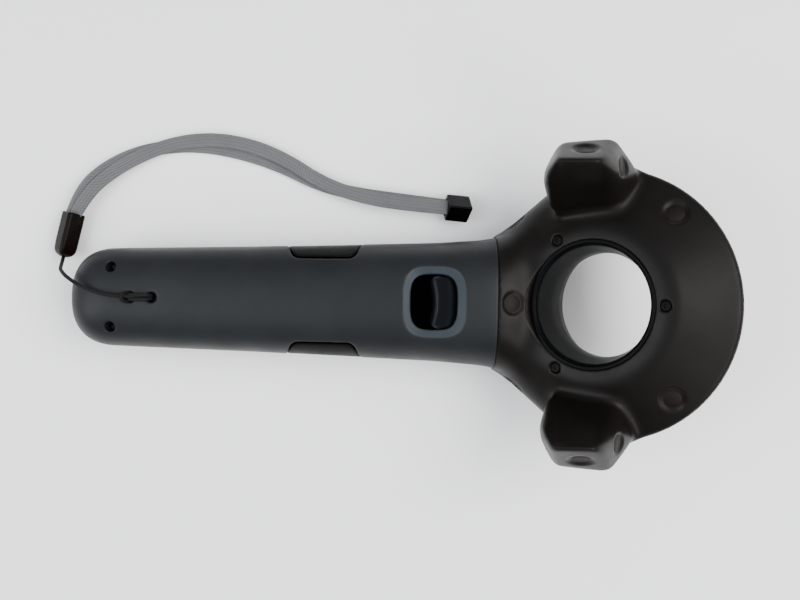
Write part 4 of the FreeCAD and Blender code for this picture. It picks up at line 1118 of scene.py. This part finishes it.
# How far each leg lies to the left of that route at each of its points, and how far up.
LEG_SIDE = {
    "strap_leg_a": (0.7, 2.1, 2.3, 1.5, -0.3, -1.4, -1.9, -1.6, -0.6, 0.4, 1.1, 0.3),
    "strap_leg_b": (-0.6, -0.8, -0.7, -0.5, 0.3, 1.2, 1.6, 1.2, 0.3, -0.3, -0.5, -0.2),
}
LEG_RISE = {"strap_leg_a": -0.70, "strap_leg_b": 0.75}
# Degrees that each leg is turned about its own line where it leaves the clip.
LEG_TILT = {"strap_leg_a": 24.0, "strap_leg_b": -16.0}
TILT_FADE = 14.0
RIBBON_STATIONS = 300
# A quarter of the tape's section, from the middle of its face to its edge.
TAPE_BEAD = [(0.0, 1.0), (0.45, 0.98), (0.8, 0.88), (0.95, 0.55), (1.0, 0.0)]


def spline_through(name, route, material, radius=0.0):
    """Curve object with the route's points as control points."""
    data = bpy.data.curves.new(name, "CURVE")
    data.dimensions = "3D"
    data.resolution_u = 24
    data.bevel_depth = radius * MM
    data.bevel_resolution = 5
    data.use_fill_caps = True
    spline = data.splines.new("NURBS")
    spline.points.add(len(route) - 1)
    for point, where in zip(spline.points, place(route)):
        point.co = (*where, 1.0)
    spline.order_u = 3
    spline.use_endpoint_u = True
    obj = new_object(name, data)
    if material:
        data.materials.append(material)
    return obj


def spline_points(route):
    """Points along the route's own spline, in metres."""
    guide = spline_through("guide", route, None)
    mesh = bpy.data.meshes.new_from_object(guide)
    points = np.array([v.co for v in mesh.vertices])
    bpy.data.meshes.remove(mesh)
    curve = guide.data
    bpy.data.objects.remove(guide)
    bpy.data.curves.remove(curve)
    return points


def leg_route(name):
    """The strap's route moved sideways and up for one leg."""
    middle = np.array(STRAP_ROUTE)
    ahead = np.gradient(middle, axis=0)
    side = np.stack([-ahead[:, 1], ahead[:, 0], np.zeros(len(middle))], 1)
    side /= np.linalg.norm(side, axis=1)[:, None]
    return middle + side * np.array(LEG_SIDE[name])[:, None] + np.array((0.0, 0.0, LEG_RISE[name]))


def along_of(points):
    """Length along a line of points."""
    steps = np.linalg.norm(np.diff(points, axis=0), axis=1)
    return np.concatenate([[0.0], np.cumsum(steps)])


def ribbon(name, route, width, thickness, tilt, material):
    """Tape along a route's spline, tilted at its start; returns it, its path and its length."""
    raw = spline_points(route)
    length = along_of(raw)
    stations = np.linspace(0.0, length[-1], RIBBON_STATIONS)
    path = np.stack([np.interp(stations, length, raw[:, i]) for i in range(3)], 1)
    ahead = np.gradient(path, axis=0)
    ahead /= np.linalg.norm(ahead, axis=1)[:, None]
    side = np.stack([-ahead[:, 1], ahead[:, 0], np.zeros(len(path))], 1)
    side /= np.linalg.norm(side, axis=1)[:, None]
    up = np.cross(ahead, side)
    turn = np.radians(tilt * np.exp(-stations / stations[-1] * TILT_FADE))
    w = side * np.cos(turn)[:, None] + up * np.sin(turn)[:, None]
    h = np.cross(ahead, w)
    half, thick = width * MM / 2, thickness * MM / 2
    outline = TAPE_BEAD + [(a, -b) for a, b in TAPE_BEAD[-2::-1]]
    outline += [(-a, -b) for a, b in TAPE_BEAD[1:]] + [(-a, b) for a, b in TAPE_BEAD[-2:0:-1]]
    grid = np.stack([path + w * (a * half) + h * (b * thick) for a, b in outline], 1)
    count, ring = grid.shape[:2]
    faces = []
    uvs = []
    around = np.array([a * half for a, _ in outline] + [outline[0][0] * half])
    for i in range(count - 1):
        for j in range(ring):
            k = (j + 1) % ring
            faces.append((i * ring + j, i * ring + k, (i + 1) * ring + k, (i + 1) * ring + j))
            u0, u1, v0, v1 = stations[i], stations[i + 1], around[j], around[j + 1]
            uvs += [(u0, v0), (u0, v1), (u1, v1), (u1, v0)]
    faces.append(tuple(range(ring))[::-1])
    faces.append(tuple((count - 1) * ring + j for j in range(ring)))
    uvs += [(0.0, 0.0)] * (2 * ring)
    mesh = bpy.data.meshes.new(name)
    mesh.from_pydata(grid.reshape(-1, 3).tolist(), [], faces)
    layer = mesh.uv_layers.new(name="weave")
    layer.data.foreach_set("uv", np.array(uvs, float).ravel())
    mesh.shade_smooth()
    obj = new_object(name, mesh)
    give(obj, material)
    return obj, path, float(stations[-1])


def block_frame(start, end):
    """Start, axes and length of a block on its edge, laid from start to end.

    The axes are its line, its two faces' directions, then level across it and upright."""
    a = np.array(end, float) - np.array(start, float)
    length = np.linalg.norm(a)
    a /= length
    side = np.array((-a[1], a[0], 0.0))
    side /= np.linalg.norm(side)
    up = np.cross(a, side)
    v = (side + up) / math.sqrt(2.0)
    w = (up - side) / math.sqrt(2.0)
    return np.array(start, float), a, v, w, side, up, length


def clip_field(p):
    """Clip body: square on its edge, round towards the cord, open towards the strap."""
    origin, a, v, w, side, up, length = block_frame(CLIP_START, CLIP_END)
    q = p - origin
    along, m, n = q @ a, q @ v, q @ w
    half = CLIP_HALF - 0.02 * np.maximum(6.0 - along, 0.0) ** 1.5
    square = smooth_max(np.abs(m) - half, np.abs(n) - half, 1.3)
    out = smooth_max(square, -along, 3.2)
    out = smooth_max(out, along - length - 0.25, 0.5)
    mouth = np.maximum(np.abs(q @ side) - CLIP_MOUTH[0], np.abs(q @ up) - CLIP_MOUTH[1])
    return cut_away(out, np.maximum(mouth, length - CLIP_MOUTH_DEPTH - along), 0.2)


def slider_field(p):
    """Slider body: square on its edge, with a level tunnel for both legs."""
    end, before = np.array(STRAP_ROUTE[-1]), np.array(STRAP_ROUTE[-2])
    a = (end - before) / np.linalg.norm(end - before)
    start = end - a * (SLIDER_LENGTH - SLIDER_OVERHANG)
    origin, a, v, w, side, up, _ = block_frame(start, start + a)
    q = p - origin
    along, m, n = q @ a - SLIDER_LEAN * (q @ up), q @ v, q @ w
    out = smooth_max(np.abs(m) - SLIDER_HALF, np.abs(n) - SLIDER_HALF, 0.5)
    out = smooth_max(out, np.abs(along - SLIDER_LENGTH / 2) - SLIDER_LENGTH / 2 + 0.7, 0.5)
    tunnel = np.maximum(np.abs(q @ side) - SLIDER_TUNNEL[0], np.abs(q @ up) - SLIDER_TUNNEL[1])
    return cut_away(out, tunnel, 0.3)


# ---- run ----

def adopt(obj, body, node):
    """Put a finished piece in the frame in place of a CAD node."""
    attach(obj, body)
    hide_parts(node)


def build(name, field, low, high, step, material, body, node):
    """Mesh a field and put it in the frame in place of a CAD node."""
    obj = field_mesh(name, field, low, high, step, MATERIALS[material])
    adopt(obj, body, node)
    return obj


add_camera()
add_sky()
add_floor()
for lamp in LAMPS:
    add_area(*lamp)
MATERIALS = make_materials()

SHELL_STEP = 0.55
TRIGGER_STEP = 0.4
GRIP_STEP = 0.45
LANYARD_STEP = 0.35

HANDLE = (handle_field, handle_past_seam)
HEAD = (head_field, head_past_seam)
# Shell, its form and side, box to search, material, replaced node and slot.
SHELLS = (
    ("grip_shell_rear", HANDLE, 1, (-2, -24, 12), (147, 24, 38),
     "handle_rear", "handle_rear_shell", "handle_plastic"),
    ("grip_shell_front", HANDLE, -1, (-2, -24, -2), (147, 24, 17),
     "handle", "handle_front_shell", "handle_plastic"),
    ("crown_shell_rear", HEAD, 1, (143, -56, 4), (222, 56, 68),
     "head", "head_rear_shell", "head_plastic"),
    ("crown_shell_front", HEAD, -1, (143, -50, -2), (222, 50, 58),
     "head", "head_front_shell", "head_plastic"),
)
for name, form, side, low, high, material, node, slot in SHELLS:
    build(name, shell_half(*form, side), low, high, SHELL_STEP, material, ROOT, node)

build("finger_trigger", trigger_field, (118, -10, 8), (140, 10, 39), TRIGGER_STEP,
      "trigger", "trigger", "trigger")
for name, sign in (("left", 1), ("right", -1)):
    low_y, high_y = sorted((sign * 9.0, sign * 21.0))
    build("squeeze_pad_" + name, grip_pad_field(sign), (68, low_y, 5), (106, high_y, 33), GRIP_STEP,
          "grip", "grip_" + name, "grip_button_" + name)

ring_seats = [(ring_point(RING_SCREW_RADIUS, angle, RING_SCREW_SEAT), RING_AXIS)
              for angle in RING_SCREW_ANGLES]
butt_seats = [((BUTT_SCREW_X, side, BUTT_SCREW_HEAD_Z), UP) for side in BUTT_SCREW_SIDES]
dimples = list(zip(SENSOR_POINTS, SENSOR_NORMALS))
# Piece, outline, places, sides, material, lobes, replaced node and slot.
TURNED = (
    ("hole_sleeve", sleeve_profile(), [(RING_CENTRE, RING_AXIS)], SLEEVE_SIDES,
     "sleeve", 0, "bore_sleeve", "sleeve_plastic"),
    ("hole_screws", SCREW_PROFILE, ring_seats, SMALL_SIDES,
     "screw", SCREW_LOBES, "ring_screws", "screw_steel"),
    ("end_screws", SCREW_PROFILE, butt_seats, SMALL_SIDES,
     "screw", SCREW_LOBES, "butt_screws", "screw_steel"),
    ("sensor_windows", WINDOW_PROFILE, dimples, SMALL_SIDES,
     "sensor", 0, "sensor_modules", "sensor_glass"),
)
for name, profile, places, sides, material, lobes, node, slot in TURNED:
    turned = turned_set(name, profile, places, sides, MATERIALS[material], lobes)
    adopt(turned, ROOT, node)

clip = build("cord_clip", clip_field, (-13, 9, -1), (4, 35, 11), LANYARD_STEP,
             "clip", ROOT, "lanyard_clip")
build("strap_lock", slider_field, (124, 25, -1), (142, 42, 11), LANYARD_STEP,
      "slider", "strap_slider", "strap_slider")

cord = spline_through("lanyard_line", CORD_ROUTE, MATERIALS["cord"], CORD_DIAMETER / 2)
adopt(cord, ROOT, "lanyard_cord")
for index, route in enumerate(HITCH_ROUTES):
    turn = spline_through("lanyard_hitch_%d" % index, route, MATERIALS["cord"], CORD_DIAMETER / 2)
    adopt(turn, ROOT, "lanyard_cord")
cord_length = along_of(spline_points(CORD_ROUTE))[-1]
place(CORD_ROUTE[0])

for name in ("strap_leg_a", "strap_leg_b"):
    tape, path, length = ribbon("tape_" + name[-1], leg_route(name), STRAP_WIDTH, STRAP_THICKNESS,
                                LEG_TILT[name], MATERIALS["strap"])
    adopt(tape, ROOT, name)

# The CAD's own nodes: a slot's material is called by its first word, but for these.
SLOT_MATERIALS = {
    "trackpad_surface": "pad", "led_lens": "lens", "pin_steel": "steel", "spring_steel": "steel",
    "magnet_nickel": "steel", "switch_plastic": "chip", "battery_foil": "foil",
    "lead_wire": "wire", "haptic_steel": "steel", "usb_steel": "steel", "ribbon_film": "film",
}
for part in frame["record"]["subparts"]:
    slot = part["material_slot"]
    give(nodes[part["node"]], MATERIALS[SLOT_MATERIALS.get(slot, slot.split("_")[0])])
